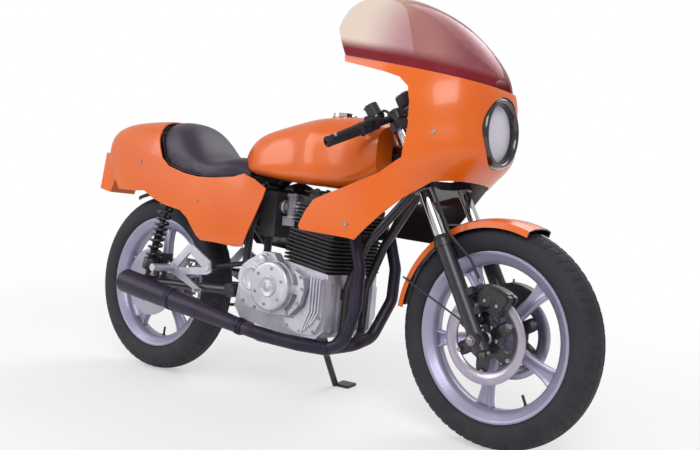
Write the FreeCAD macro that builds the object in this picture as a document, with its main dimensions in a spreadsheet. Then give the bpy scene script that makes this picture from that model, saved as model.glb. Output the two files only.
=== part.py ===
import FreeCAD, Part
import math
import os
import Sketcher
from FreeCAD import Placement, Rotation, Vector

# A half-faired twin-cylinder sport motorcycle that leans on its side stand.
# It is drawn upright in millimetres: X forward, Y to its left, Z up, with the
# origin on the ground below the rear axle. The fork pieces are drawn in a frame
# on the front axle whose Z runs up the fork legs. At the end everything is
# turned and leaned over as the machine parks.

driving_sizes = {
    # stance
    "wheelbase": 1420, "front_axle_height": 318.5, "rear_axle_height": 327.5, "lean_angle": 8,
    "steer_angle": 6, "rake_angle": 28, "fork_offset": 55,
    # clearances
    "running_gap": 0.1, "fit_gap": 0.3, "turning_gap": 6,
    # wheels and tyres
    "front_tyre_radius": 318.5, "front_tyre_width": 102, "rear_tyre_radius": 327.5,
    "rear_tyre_width": 112, "flange_radius": 243.5, "bead_radius": 228.6, "well_radius": 212,
    "front_rim_width": 76, "rear_rim_width": 86, "rim_wall": 6, "spoke_count": 5,
    "spoke_root": 42, "spoke_waist": 30, "spoke_flare": 52, "spoke_depth": 26,
    "hub_radius": 30, "axle_radius": 8.5, "hub_flange_radius": 52, "hub_nose_radius": 20,
    # brakes
    "disc_radius": 130, "disc_band": 38, "disc_thickness": 6, "disc_bore": 25,
    "front_disc_offset": 66, "rear_disc_offset": 72, "rear_disc_radius": 125,
    "caliper_length": 112, "caliper_height": 68, "pad_gap": 2,
    # fork
    "leg_spacing": 200, "slider_radius": 24, "slider_top": 300, "slider_foot": 34,
    "stanchion_radius": 17.5, "lower_yoke_height": 455,
    "upper_yoke_height": 655, "yoke_thickness": 28, "stem_radius": 15, "head_tube_radius": 27,
    # handlebars
    "bar_radius": 11, "bar_bore": 9, "bar_bore_depth": 60, "bar_length": 235,
    "bar_sweep": 30, "bar_drop": 10, "clamp_radius": 27, "clamp_height": 28, "hose_radius": 4,
    "grip_radius": 16.5, "grip_length": 125,
    # front mudguard
    "guard_gap": 14, "guard_wall": 3, "guard_width": 120, "guard_front_angle": 41,
    "guard_sweep": 102, "brace_thickness": 6,
    # frame and swingarm
    "cradle_half": 50, "rail_half": 78, "frame_tube_radius": 14, "spine_radius": 19,
    "rail_height": 190, "pivot_forward": 465, "pivot_height": 345, "arm_half": 108,
    "arm_radius": 17, "pivot_radius": 22,
    # drive
    "chain_pitch": 15.875, "rear_teeth": 36, "front_teeth": 15, "chain_offset": 75,
    "chain_gap": 9, "chain_plate": 1.6, "chain_height": 14, "roller_radius": 5,
    "sprocket_thickness": 7, "front_sprocket_forward": 560, "front_sprocket_height": 345,
    # engine
    "engine_half": 130, "cover_depth": 62, "cylinder_tilt": 10, "barrel_width": 290,
    "barrel_depth": 196, "barrel_height": 118, "head_height": 96, "fin_thickness": 4,
    "fin_pitch": 12, "fin_reach": 22,
    # exhaust
    "header_radius": 19, "header_spacing": 98, "silencer_radius": 42, "silencer_offset": 218,
    "tailpipe_radius": 19,
    # bodywork
    "tank_half": 152, "cowl_half": 152, "shell_wall": 4, "fairing_half": 248,
    "fairing_nose": 1385, "fairing_start": 1000, "screen_wall": 3, "lamp_radius": 103,
    "lens_radius": 85, "lamp_height": 896, "lamp_depth": 95, "cap_radius": 37,
    "cap_height": 12,
    # stand and footrests
    "stand_foot_side": 216, "stand_radius": 11, "stand_pivot_forward": 700,
    "stand_pivot_side": 118, "stand_pivot_height": 190, "peg_length": 95, "peg_radius": 13,
}

doc = FreeCAD.newDocument("Motorcycle")
sheet = doc.addObject("Spreadsheet::Sheet", "Sizes")
for row, (name, value) in enumerate(driving_sizes.items(), start=1):
    sheet.set("A%d" % row, name)
    sheet.set("B%d" % row, str(value))
    sheet.setAlias("B%d" % row, name)
doc.recompute()


class Size(float):
    """A length, angle or count that also keeps the formula it comes from."""

    def __new__(cls, value, text=None):
        size = super().__new__(cls, value)
        size.text = text or repr(float(value))
        return size

    def __add__(self, other):
        return Size(float(self) + float(other), join(self, "+", other))

    def __radd__(self, other):
        return Size(float(other) + float(self), join(other, "+", self))

    def __sub__(self, other):
        return Size(float(self) - float(other), join(self, "-", other))

    def __rsub__(self, other):
        return Size(float(other) - float(self), join(other, "-", self))

    def __mul__(self, other):
        return Size(float(self) * float(other), join(self, "*", other))

    def __rmul__(self, other):
        return Size(float(other) * float(self), join(other, "*", self))

    def __truediv__(self, other):
        return Size(float(self) / float(other), join(self, "/", other))

    def __neg__(self):
        return Size(-float(self), "(0 - %s)" % text_of(self))


def text_of(number):
    return number.text if isinstance(number, Size) else repr(float(number))


def join(left, sign, right):
    return "(%s %s %s)" % (text_of(left), sign, text_of(right))


class Sizes:
    """The cells of the sheet by name."""


s = Sizes()
for name in driving_sizes:
    setattr(s, name, Size(getattr(sheet, name), "Sizes." + name))


def bind(thing, path, size):
    """Ties one property of an object to the cells that its size comes from."""
    if isinstance(size, Size) and "Sizes." in size.text:
        thing.setExpression(path, size.text)


def cos(angle):
    return math.cos(math.radians(angle))


def sin(angle):
    return math.sin(math.radians(angle))


nodes = []


def node(label, thing, frame="machine", home=None):
    """Registers a finished sub-part with the frame it is drawn in."""
    thing.Label = label
    nodes.append((thing, frame, home or thing.Placement))
    return thing


def feature(name, shape):
    thing = doc.addObject("Part::Feature", name)
    thing.Shape = shape
    return thing


# sketches and bodies

def new_body(name):
    return doc.addObject("PartDesign::Body", name)


def new_sketch(body, name, plane, offset=0):
    """A sketch on one of the body's own origin planes, moved along its normal."""
    sketch = body.newObject("Sketcher::SketchObject", name)
    support = [part for part in body.Origin.OriginFeatures if part.Role == plane][0]
    sketch.AttachmentSupport = [(support, "")]
    sketch.MapMode = "FlatFace"
    sketch.AttachmentOffset = Placement(Vector(0, 0, offset), Rotation())
    bind(sketch, "AttachmentOffset.Base.z", offset)
    return sketch


def place_point(sketch, geometry, end, across, up):
    for kind, size in (("DistanceX", across), ("DistanceY", up)):
        index = sketch.addConstraint(
            Sketcher.Constraint(kind, -1, 1, geometry, end, float(size)))
        bind(sketch, "Constraints[%d]" % index, size)


def add_polygon(sketch, corners):
    """A closed loop of straight edges through corners tied to the sheet."""
    first = sketch.GeometryCount
    count = len(corners)
    points = [Vector(float(across), float(up), 0) for across, up in corners]
    for i in range(count):
        sketch.addGeometry(Part.LineSegment(points[i], points[(i + 1) % count]), False)
    for i in range(count):
        following = first + (i + 1) % count
        sketch.addConstraint(Sketcher.Constraint("Coincident", first + i, 2, following, 1))
        place_point(sketch, first + i, 1, *corners[i])


def add_circle(sketch, across, up, radius):
    centre = Vector(float(across), float(up), 0)
    index = sketch.addGeometry(Part.Circle(centre, Vector(0, 0, 1), float(radius)), False)
    place_point(sketch, index, 3, across, up)
    ring = sketch.addConstraint(Sketcher.Constraint("Radius", index, float(radius)))
    bind(sketch, "Constraints[%d]" % ring, radius)


def pad(body, name, sketch, length, centred=False, flipped=False):
    step = body.newObject("PartDesign::Pad", name)
    step.Profile = sketch
    step.Length = float(length)
    bind(step, "Length", length)
    step.SideType = "Symmetric" if centred else "One side"
    step.Reversed = flipped
    return step


def pocket(body, name, sketch, length, centred=False, flipped=False):
    step = body.newObject("PartDesign::Pocket", name)
    step.Profile = sketch
    step.Length = float(length)
    bind(step, "Length", length)
    step.SideType = "Symmetric" if centred else "One side"
    step.Reversed = flipped
    return step


def revolve(body, name, sketch, axis, angle=360):
    step = body.newObject("PartDesign::Revolution", name)
    step.Profile = sketch
    step.ReferenceAxis = (sketch, [axis])
    step.Angle = float(angle)
    bind(step, "Angle", angle)
    return step


def polar_pattern(body, name, steps, count, axis="Y_Axis"):
    pattern = body.newObject("PartDesign::PolarPattern", name)
    pattern.Originals = steps
    line = [part for part in body.Origin.OriginFeatures if part.Role == axis][0]
    pattern.Axis = (line, [""])
    pattern.Angle = 360
    pattern.Occurrences = int(count)
    bind(pattern, "Occurrences", count)
    body.Tip = pattern
    return pattern


def round_edges(body, name, base, chosen, radius):
    """Rounds the edges of the base step that the test picks."""
    doc.recompute()
    names = ["Edge%d" % (i + 1) for i, edge in enumerate(base.Shape.Edges) if chosen(edge)]
    step = body.newObject("PartDesign::Fillet", name)
    step.Base = (base, names)
    step.Radius = float(radius)
    bind(step, "Radius", radius)
    return step


# plain solids for booleans

def solid_box(name, low, high):
    box = doc.addObject("Part::Box", name)
    for prop, start, end in zip(("Length", "Width", "Height"), low, high):
        setattr(box, prop, float(end - start))
        bind(box, prop, end - start)
    box.Placement = Placement(Vector(*[float(value) for value in low]), Rotation())
    for letter, value in zip("xyz", low):
        bind(box, "Placement.Base." + letter, value)
    return box


def rod(name, start, end, radius):
    """A cylinder between two points."""
    start, end = Vector(*start), Vector(*end)
    cylinder = doc.addObject("Part::Cylinder", name)
    cylinder.Radius = float(radius)
    bind(cylinder, "Radius", radius)
    cylinder.Height = (end - start).Length
    cylinder.Placement = Placement(start, Rotation(Vector(0, 0, 1), end - start))
    return cylinder


def fuse(name, things):
    whole = doc.addObject("Part::MultiFuse", name)
    whole.Shapes = things
    return whole


def cut(name, base, tool):
    result = doc.addObject("Part::Cut", name)
    result.Base = base
    result.Tool = tool
    return result


# swept tubes and lofted shells

def bent_path(points, bend):
    """Straight runs joined by tangent arcs of one bend radius."""
    points = [Vector(*point) for point in points]
    edges = []
    start = points[0]
    for before, corner, after in zip(points, points[1:], points[2:]):
        back, ahead = (before - corner).normalize(), (after - corner).normalize()
        half_turn = (math.pi - back.getAngle(ahead)) / 2
        reach = float(bend) * math.tan(half_turn)
        reach = min(reach, 0.45 * (before - corner).Length, 0.45 * (after - corner).Length)
        radius = reach / math.tan(half_turn)
        arc_start, arc_end = corner + back * reach, corner + ahead * reach
        bisector = (back + ahead).normalize()
        middle = corner + bisector * (math.hypot(radius, reach) - radius)
        edges.append(Part.LineSegment(start, arc_start).toShape())
        edges.append(Part.Arc(arc_start, middle, arc_end).toShape())
        start = arc_end
    edges.append(Part.LineSegment(start, points[-1]).toShape())
    return Part.Wire(edges)


def tube(points, radius, bend):
    """A round bar swept along straight runs and arcs."""
    path = bent_path(points, bend)
    start = Vector(*points[0])
    ring = Part.Circle(start, Vector(*points[1]) - start, float(radius)).toShape()
    return path.makePipeShell([Part.Wire([ring])], True, False)


def superellipse(half_width, low, middle, high, low_power, high_power, count=28):
    """Points (across, up) of an arch with its own power above and below the middle."""
    points = []
    for i in range(count):
        turn = 360.0 * i / count
        c, v = cos(turn), sin(turn)
        power = high_power if v >= 0 else low_power
        across = half_width * math.copysign(abs(c) ** (2.0 / power), c)
        height = (high - middle) if v >= 0 else (middle - low)
        points.append((across, middle + height * math.copysign(abs(v) ** (2.0 / power), v)))
    return points


def closed_curve(points):
    curve = Part.BSplineCurve()
    curve.interpolate(points, PeriodicFlag=True)
    return Part.Wire([curve.toShape()])


def prism_across(corners, half):
    """A side outline in X and Z carried across from one side to the other."""
    half = float(half)
    points = [Vector(float(x), -half, float(z)) for x, z in corners]
    face = Part.Face(Part.makePolygon(points + points[:1]))
    return face.extrude(Vector(0, 2 * half, 0))


# where things are, in the upright machine

front_axle_at = Vector(s.wheelbase, 0, s.front_axle_height)
rear_axle_at = Vector(0, 0, s.rear_axle_height)
fork_home = Placement(front_axle_at, Rotation(Vector(0, 1, 0), -float(s.rake_angle)))
fork_turn = Placement(Vector(), Rotation(Vector(0, 0, 1), -float(s.steer_angle)),
                      Vector(-s.fork_offset, 0, 0))
fork_frame = fork_home * fork_turn
rear_frame = Placement(rear_axle_at, Rotation())
leg_half = s.leg_spacing / 2


def fork_point(x, y, z):
    """A place of the fork frame, seen in the machine with the bars straight."""
    return fork_home.multVec(Vector(float(x), float(y), float(z)))


# wheels

def make_tyre(label, frame, radius, width, rim_width):
    """A round-shouldered tyre on its bead seats, turned about its axle."""
    body = new_body(label)
    sketch = new_sketch(body, label + "_section", "YZ_Plane")
    bead, side = rim_width / 2 - s.rim_wall + 1, width / 2
    base = s.bead_radius + s.fit_gap
    widest = s.flange_radius + 0.42 * (radius - s.flange_radius)
    half = [(bead, base), (bead, s.flange_radius), (side, widest)]
    for turn in (34, 68):
        rise = sin(turn) / sin(68)
        half.append((side * cos(turn), widest + (radius - widest) * rise))
    add_polygon(sketch, half + [(-across, up) for across, up in reversed(half)])
    revolve(body, label + "_turned", sketch, "H_Axis")
    node(label, body, frame)


def make_rim(label, frame, rim_width, hub_end, disc_seats):
    """A cast wheel: rim, hub with disc seats and tapered spokes."""
    body = new_body(label)
    rim = new_sketch(body, label + "_rim_section", "YZ_Plane")
    edge, lip, wall = rim_width / 2, 4, s.rim_wall
    half = [(edge, s.flange_radius), (edge - lip, s.flange_radius),
            (edge - lip - 1, s.bead_radius), (edge - 18, s.bead_radius - 1),
            (edge - 24, s.well_radius)]
    inner = [(edge - 22, s.well_radius - wall), (edge - 10, s.bead_radius - wall - 2),
             (edge, s.flange_radius - wall - 3)]
    corners = [(-across, up) for across, up in half] + list(reversed(half))
    corners += list(reversed(inner)) + [(-across, up) for across, up in inner]
    add_polygon(rim, corners)
    revolve(body, label + "_rim", rim, "H_Axis")
    hub = new_sketch(body, label + "_hub_section", "YZ_Plane")
    bore = s.axle_radius + s.running_gap
    right, left = disc_seats
    hub_corners = [(-hub_end, bore), (hub_end, bore), (hub_end, s.hub_nose_radius),
                   (left, s.hub_nose_radius), (left, s.hub_flange_radius),
                   (left - 8, s.hub_flange_radius), (left - 14, s.hub_radius),
                   (-right + 14, s.hub_radius), (-right + 8, s.hub_flange_radius),
                   (-right, s.hub_flange_radius), (-right, s.hub_nose_radius),
                   (-hub_end, s.hub_nose_radius)]
    add_polygon(hub, hub_corners)
    revolve(body, label + "_hub", hub, "H_Axis")
    spoke = new_sketch(body, label + "_spoke_outline", "XZ_Plane")
    root, waist, flare = s.spoke_root / 2, s.spoke_waist / 2, s.spoke_flare / 2
    start, neck, end = s.hub_radius - 4, s.well_radius - 60, s.well_radius - 3
    add_polygon(spoke, [(-root, start), (root, start), (waist, neck), (flare, end),
                        (-flare, end), (-waist, neck)])
    blade = pad(body, label + "_spoke", spoke, s.spoke_depth, centred=True)
    polar_pattern(body, label + "_spokes", [blade], s.spoke_count)
    node(label, body, frame)


def make_disc(label, frame, offset, radius, both_sides):
    """A drilled brake disc with windows in its carrier, on one or both sides."""
    body = new_body(label)
    body.AllowCompound = True
    sketch = new_sketch(body, label + "_outline", "XZ_Plane", offset - s.disc_thickness / 2)
    add_circle(sketch, 0, 0, radius)
    add_circle(sketch, 0, 0, s.disc_bore)
    windows = 5
    window_ring = (s.hub_flange_radius + radius - s.disc_band) / 2 + 3
    for i in range(windows):
        turn = 360 / windows * (i + 0.5)
        add_circle(sketch, window_ring * cos(turn), window_ring * sin(turn), 11)
    plate = pad(body, label + "_plate", sketch, s.disc_thickness)
    if both_sides:
        mirror = body.newObject("PartDesign::Mirrored", label + "_pair")
        mirror.Originals = [plate]
        side = [part for part in body.Origin.OriginFeatures if part.Role == "XZ_Plane"][0]
        mirror.MirrorPlane = (side, [""])
        body.Tip = mirror
    node(label, body, frame)


front_seat = s.front_disc_offset - s.disc_thickness / 2 - s.fit_gap
rear_seat = s.rear_disc_offset - s.disc_thickness / 2 - s.fit_gap
sprocket_seat = s.chain_offset - s.sprocket_thickness / 2 - s.fit_gap
front_hub_end = leg_half - s.slider_radius - 1
rear_hub_end = s.arm_half - s.arm_radius - 6
make_tyre("front_tyre", "fork", s.front_tyre_radius, s.front_tyre_width, s.front_rim_width)
make_rim("front_wheel_casting", "fork", s.front_rim_width, front_hub_end,
         (front_seat, front_seat))
make_disc("front_discs", "fork", s.front_disc_offset, s.disc_radius, True)
make_tyre("rear_tyre", "rear", s.rear_tyre_radius, s.rear_tyre_width, s.rear_rim_width)
make_rim("rear_wheel_casting", "rear", s.rear_rim_width, rear_hub_end,
         (rear_seat, sprocket_seat))
make_disc("rear_disc", "rear", s.rear_disc_offset, s.rear_disc_radius, False)


def pitch_radius(teeth):
    return float(s.chain_pitch) / (2 * math.sin(math.pi / float(teeth)))


def sprocket_points(teeth):
    """Two tip corners and two root corners for each tooth."""
    ring = pitch_radius(teeth)
    tip, root = ring + 5, ring - s.roller_radius - 0.8
    points = []
    for i in range(int(teeth)):
        for share, radius in ((-0.28, root), (-0.10, tip), (0.10, tip), (0.28, root)):
            turn = math.radians(90) + 2 * math.pi * (i + 0.5 + share) / int(teeth)
            points.append(Vector(radius * math.cos(turn), 0, radius * math.sin(turn)))
    return points


def make_rear_sprocket():
    """A toothed ring on the left of the rear hub, with lightening holes."""
    points = sprocket_points(s.rear_teeth)
    side = s.chain_offset - s.sprocket_thickness / 2
    plate = Part.Face(Part.makePolygon(points + points[:1]))
    plate = plate.extrude(Vector(0, s.sprocket_thickness, 0))
    bore = Part.makeCylinder(s.disc_bore, 60, Vector(0, -30, 0), Vector(0, 1, 0))
    tools = [bore]
    for i in range(6):
        centre = Vector(63 * cos(60 * i), -30, 63 * sin(60 * i))
        tools.append(Part.makeCylinder(13, 60, centre, Vector(0, 1, 0)))
    plate = plate.cut(tools)
    plate.translate(Vector(0, side, 0))
    node("rear_sprocket", feature("rear_sprocket", plate), "rear")


make_rear_sprocket()


# fork, yokes and handlebars

def make_sliders():
    """Lower fork legs, each with its axle boss and its caliper lugs."""
    legs = []
    for name, side in (("right", -1), ("left", 1)):
        y = side * leg_half
        leg = rod("slider_tube_" + name, (0, y, -s.slider_foot), (0, y, s.slider_top),
                  s.slider_radius)
        collar = rod("slider_collar_" + name, (0, y, s.slider_top - 22),
                     (0, y, s.slider_top - 6), s.slider_radius + 3)
        inner, outer = y - side * s.slider_radius, y + side * (s.slider_radius + 2)
        boss = rod("axle_boss_" + name, (0, inner, 0), (0, outer, 0), 21)
        lugs = [solid_box("caliper_lug_%s_%d" % (name, i), (10, y - 9, z), (44, y + 9, z + 20))
                for i, z in enumerate((64, 120))]
        whole = fuse("slider_whole_" + name, [leg, collar, boss] + lugs)
        axle_hole = rod("axle_hole_" + name, (0, y - 60, 0), (0, y + 60, 0),
                        s.axle_radius + s.running_gap)
        tube_hole = rod("stanchion_hole_" + name, (0, y, s.slider_top - 60),
                        (0, y, s.slider_top + 5), s.stanchion_radius + s.running_gap)
        drilled = cut("slider_drilled_" + name, whole, fuse("slider_holes_" + name,
                                                            [axle_hole, tube_hole]))
        legs.append(drilled)
    node("fork_sliders", fuse("slider_pair", legs), "fork")


bar_clamp_base = s.upper_yoke_height + s.yoke_thickness + s.turning_gap


def make_stanchions():
    top = bar_clamp_base + s.clamp_height + 1
    tubes = [rod("stanchion_%d" % i, (0, side * leg_half, s.slider_top - 55),
                 (0, side * leg_half, top), s.stanchion_radius)
             for i, side in enumerate((-1, 1))]
    node("fork_stanchions", fuse("stanchion_pair", tubes), "fork")


def make_yokes():
    """Upper and lower yokes on the steering stem."""
    body = new_body("yokes")
    stem = new_sketch(body, "stem_outline", "XY_Plane", s.lower_yoke_height)
    add_circle(stem, -s.fork_offset, 0, s.stem_radius)
    pad(body, "stem", stem, s.upper_yoke_height - s.lower_yoke_height + s.yoke_thickness + 12)
    bore = s.stanchion_radius + s.running_gap
    for name, height in (("lower", s.lower_yoke_height), ("upper", s.upper_yoke_height)):
        sketch = new_sketch(body, name + "_yoke_outline", "XY_Plane", height)
        out, back = leg_half + 27, -s.fork_offset
        half = [(27, leg_half - 16), (20, out - 6), (-2, out), (-24, out - 8),
                (-30, leg_half - 14), (back - 18, 34), (back - 30, 14)]
        corners = half + [(x, -y) for x, y in reversed(half)] + [(12, -30), (12, 30)]
        add_polygon(sketch, corners)
        add_circle(sketch, 0, leg_half, bore)
        add_circle(sketch, 0, -leg_half, bore)
        pad(body, name + "_yoke", sketch, s.yoke_thickness)
    node("yokes_and_stem", body, "fork")


def bar_line(side):
    """The middle of one handlebar at its clamp and the way it points."""
    across, back = cos(s.bar_drop) * cos(s.bar_sweep), cos(s.bar_drop) * sin(s.bar_sweep)
    way = Vector(-back, side * across, -sin(s.bar_drop))
    clamp_middle = bar_clamp_base + s.clamp_height / 2
    return Vector(0, side * float(leg_half), clamp_middle) + way * 12, way


def make_clip_ons():
    """Clamped bars, swept back and down, open at their ends."""
    bars = []
    for name, side in (("right", -1), ("left", 1)):
        y = side * leg_half
        start, way = bar_line(side)
        ring = rod("bar_clamp_" + name, (0, y, bar_clamp_base),
                   (0, y, bar_clamp_base + s.clamp_height), s.clamp_radius)
        bar = rod("bar_" + name, start, start + way * s.bar_length, s.bar_radius)
        hole = rod("clamp_bore_" + name, (0, y, bar_clamp_base - 20),
                   (0, y, bar_clamp_base + 60), s.stanchion_radius + s.running_gap)
        end = start + way * s.bar_length
        open_end = rod("bar_bore_" + name, end - way * s.bar_bore_depth, end + way * 5,
                       s.bar_bore)
        whole = fuse("bar_whole_" + name, [ring, bar])
        holes = fuse("bar_holes_" + name, [hole, open_end])
        bars.append(cut("clip_on_cut_" + name, whole, holes))
    node("clip_on_bars", fuse("bar_pair", bars), "fork")


def make_grips():
    grips = []
    for name, side in (("right", -1), ("left", 1)):
        start, way = bar_line(side)
        inner = start + way * (s.bar_length - s.grip_length)
        sleeve = rod("grip_sleeve_" + name, inner, start + way * s.bar_length, s.grip_radius)
        flange = rod("grip_flange_" + name, inner, inner + way * 6, s.grip_radius + 5)
        hole = rod("grip_hole_" + name, inner - way * 5, inner + way * (s.grip_length + 5),
                   s.bar_radius + s.running_gap)
        grips.append(cut("grip_" + name, fuse("grip_solid_" + name, [sleeve, flange]), hole))
    node("handlebar_grips", fuse("grips", grips), "fork")


def brake_hose(start, forward):
    """The hose from the master cylinder down the right leg to the caliper."""
    y, caliper_top = -float(leg_half), 156 + float(s.fit_gap)
    points = [start, start + forward * 38, (36, y - 48, 650), (34, y - 8, 560), (36, y - 5, 300),
              (58, y + 16, 215), (60, y + 20, caliper_top)]
    return feature("brake_hose", tube(points, s.hose_radius, 30))


def make_controls():
    """Switch housing, master cylinder or cable perch, and lever of each bar."""
    sets = []
    for name, side in (("brake", -1), ("clutch", 1)):
        start, way = bar_line(side)
        room = s.bar_length - s.grip_length
        inner = start + way * (room - 52)
        forward = Vector(cos(s.bar_sweep), side * sin(s.bar_sweep), 0)
        housing = rod(name + "_switch", start + way * (room - 26), start + way * (room - 1), 19)
        perch = rod(name + "_perch", inner, inner + way * 22, 17)
        arm = rod(name + "_arm", inner + way * 11, inner + way * 11 + forward * 40, 8)
        pivot = inner + way * 11 + forward * 40
        elbow = pivot + way * 46 + forward * 4
        blade = rod(name + "_blade", pivot, elbow, 6)
        tip = rod(name + "_tip", elbow, elbow + way * 95 + forward * -12, 5)
        parts = [housing, perch, arm, blade, tip]
        if name == "brake":
            up = way.cross(forward) * side * -1
            up = up if up.z > 0 else up * -1
            base = inner + way * 11 + forward * 20
            parts.append(rod("master_cylinder", base - way * 30 + up * 14,
                             base + way * 28 + up * 14, 11))
            parts.append(rod("fluid_cup", base - way * 8 + up * 14, base - way * 8 + up * 52, 21))
            parts.append(brake_hose(base - way * 22 + up * 14, forward))
        hole = rod(name + "_hole", start, start + way * (room + 5),
                   s.bar_radius + s.running_gap)
        sets.append(cut(name + "_cut", fuse(name + "_parts", parts), hole))
    node("bar_controls", fuse("control_pair", sets), "fork")


def make_front_axle():
    """The axle with a spacer each side of the hub and a nut outside each leg."""
    reach = leg_half + s.slider_radius + 2
    parts = [rod("axle_bar", (0, -reach - 14, 0), (0, reach + 14, 0), s.axle_radius)]
    for i, side in enumerate((-1, 1)):
        outer = side * (reach + s.fit_gap)
        parts.append(rod("axle_nut_%d" % i, (0, outer, 0), (0, outer + side * 10, 0), 14))
    node("front_axle", fuse("front_axle_parts", parts), "fork")


def arc_shell(name, inner_radius, half_width, wall, start_angle, sweep, skirt):
    """A mudguard: an arched section turned part of the way round an axle."""
    body = new_body(name)
    sketch = new_sketch(body, name + "_section", "YZ_Plane")
    outer = [(half_width, inner_radius - skirt), (half_width - 2, inner_radius - 6),
             (0.55 * half_width, inner_radius + wall * 0.6), (0, inner_radius + wall)]
    under = [(half_width - wall, inner_radius - skirt), (half_width - wall - 2,
             inner_radius - 8), (0.52 * half_width, inner_radius - wall * 0.6),
             (0, inner_radius)]
    corners = outer + [(-y, z) for y, z in reversed(outer[:-1])]
    corners += [(-y, z) for y, z in under] + list(reversed(under[:-1]))
    add_polygon(sketch, corners)
    revolve(body, name + "_shell", sketch, "H_Axis", sweep)
    home = Placement(Vector(), Rotation(Vector(0, 1, 0), 90 - float(start_angle + sweep)))
    return body, home


def make_front_mudguard():
    inner = s.front_tyre_radius + s.guard_gap
    body, home = arc_shell("front_guard", inner, s.guard_width / 2, s.guard_wall,
                           s.guard_front_angle, s.guard_sweep, 24)
    node("front_mudguard", body, "fork", home)
    top = inner + s.guard_wall + s.fit_gap
    inside = leg_half - s.slider_radius - 3 - s.fit_gap
    thick = s.brace_thickness
    bridge = solid_box("brace_bridge", (-18, -inside, top), (18, inside, top + thick))
    legs = []
    for i, side in enumerate((-1, 1)):
        low_y = inside - thick if side > 0 else -inside
        legs.append(solid_box("brace_leg_%d" % i, (-14, low_y, s.slider_top - 60),
                              (14, low_y + thick, top + thick)))
    stays = []
    for name, side in (("right", -1), ("left", 1)):
        high = (-200, side * (s.guard_width / 2 + 4), 266)
        stay = rod("guard_stay_" + name, high, (-14, side * (leg_half - 6), 40), 3)
        leg = rod("stay_end_" + name, (0, side * leg_half, 0), (0, side * leg_half, 100),
                  s.slider_radius + s.fit_gap)
        stays.append(cut("guard_stay_cut_" + name, stay, leg))
    node("fork_brace", fuse("brace_parts", [bridge] + legs + stays), "fork")


def make_front_calipers():
    """Two caliper blocks that reach over the disc edges ahead of the legs."""
    blocks = []
    slot = s.disc_thickness / 2 + s.pad_gap
    low, near = 44, 40
    for name, side in (("right", -1), ("left", 1)):
        y = side * s.front_disc_offset
        outside = leg_half - 9 - s.fit_gap
        inner_y, outer_y = s.front_disc_offset - 20, outside
        ends = (inner_y, outer_y) if side > 0 else (-outer_y, -inner_y)
        block = solid_box("caliper_block_" + name, (near, ends[0], low),
                          (near + s.caliper_height, ends[1], low + s.caliper_length))
        disc_room = rod("caliper_slot_" + name, (0, y - slot, 0), (0, y + slot, 0),
                        s.disc_radius + 4)
        arm = solid_box("caliper_arm_" + name, (26, min(ends[0], ends[1]) + (0 if side < 0 else
                        outer_y - inner_y - 12), 66), (54, ends[1] if side > 0 else ends[0] + 12,
                        138))
        blocks.append(cut("caliper_" + name, fuse("caliper_solid_" + name, [block, arm]),
                          disc_room))
    node("front_calipers", fuse("caliper_pair", blocks), "fork")


make_sliders()
make_stanchions()
make_yokes()
make_clip_ons()
make_grips()
make_controls()
make_front_axle()
make_front_mudguard()
make_front_calipers()


# the machine as it parks: leaned on its stand, both tyres on the ground

def parked_placement():
    """Leans the machine, then pitches and lifts it until both tyres touch the ground."""
    lean = Placement(Vector(), Rotation(Vector(1, 0, 0), -float(s.lean_angle)))
    tyres = [(thing, frame) for thing, frame, home in nodes
             if thing.Label in ("rear_tyre", "front_tyre")]
    pitch, lift = 0.0, 0.0
    for step in range(4):
        whole = Placement(Vector(0, 0, lift), Rotation(Vector(0, 1, 0), pitch)) * lean
        low = {}
        for thing, frame in tyres:
            shape = thing.Shape.copy()
            shape.Placement = whole * frames[frame]
            low[frame] = shape.optimalBoundingBox(False).ZMin
        pitch += math.degrees((low["fork"] - low["rear"]) / float(s.wheelbase))
        lift -= low["rear"]
    return Placement(Vector(0, 0, lift), Rotation(Vector(0, 1, 0), pitch)) * lean


frames = {"machine": Placement(), "fork": fork_frame, "rear": rear_frame}
doc.recompute()
parked = parked_placement()


def ground_under(x, y):
    """The point of the ground below a place of the upright machine."""
    down = parked.Rotation.multVec(Vector(0, 0, 1)).z
    low = parked.multVec(Vector(x, y, 0)).z
    return Vector(x, y, -low / down)


# frame, swingarm and rear suspension

arm_boss_half = 19
shock_low = (44, 345)
shock_high = (108, 680)
shock_low_side = float(s.arm_half) + 25
shock_high_side = 104.0


case_front, case_rear = 890.0, 500.0
rear_guard_inner = float(s.rear_tyre_radius + s.guard_gap + 6)
stand_pin_radius = 6.0
stand_pivot = Vector(float(s.stand_pivot_forward), float(s.stand_pivot_side),
                     float(s.stand_pivot_height) - 12)
stand_foot_at = ground_under(float(s.stand_pivot_forward) - 10, float(s.stand_foot_side))
stand_down = (stand_foot_at + Vector(0, 0, 8) - stand_pivot).normalize()
stand_reach = (stand_foot_at - stand_pivot).Length
stand_back = Vector(-1, 0.06, 0.05).normalize()
stand_axis = stand_down.cross(stand_back).normalize()


def stand_bracket():
    """A fork and pin on the left lower rail that carries the stand."""
    pin = Part.makeCylinder(stand_pin_radius, 30, stand_pivot - stand_axis * 15, stand_axis)
    turn = Rotation(stand_down * -1, stand_axis.cross(stand_down * -1), stand_axis, "ZXY")
    parts = []
    for side in (-1, 1):
        cheek_at = 9 if side > 0 else -15
        parts.append(Part.makeCylinder(15, 6, stand_pivot + stand_axis * cheek_at, stand_axis))
        arm = Part.makeBox(26, 26, 6)
        arm.Placement = Placement(stand_pivot, turn) * Placement(Vector(0, -13, cheek_at),
                                                                  Rotation())
        parts.append(arm)
    web = Part.makeBox(14, 26, 30)
    web.Placement = Placement(stand_pivot, turn) * Placement(Vector(24, -13, -15), Rotation())
    reach = Part.makeBox(26, 48, 20, Vector(stand_pivot.x - 13, float(s.cradle_half) + 2, 186))
    return pin.fuse(parts + [web, reach])


head_low = s.lower_yoke_height + s.yoke_thickness + 4
head_high = s.upper_yoke_height - 4


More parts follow.
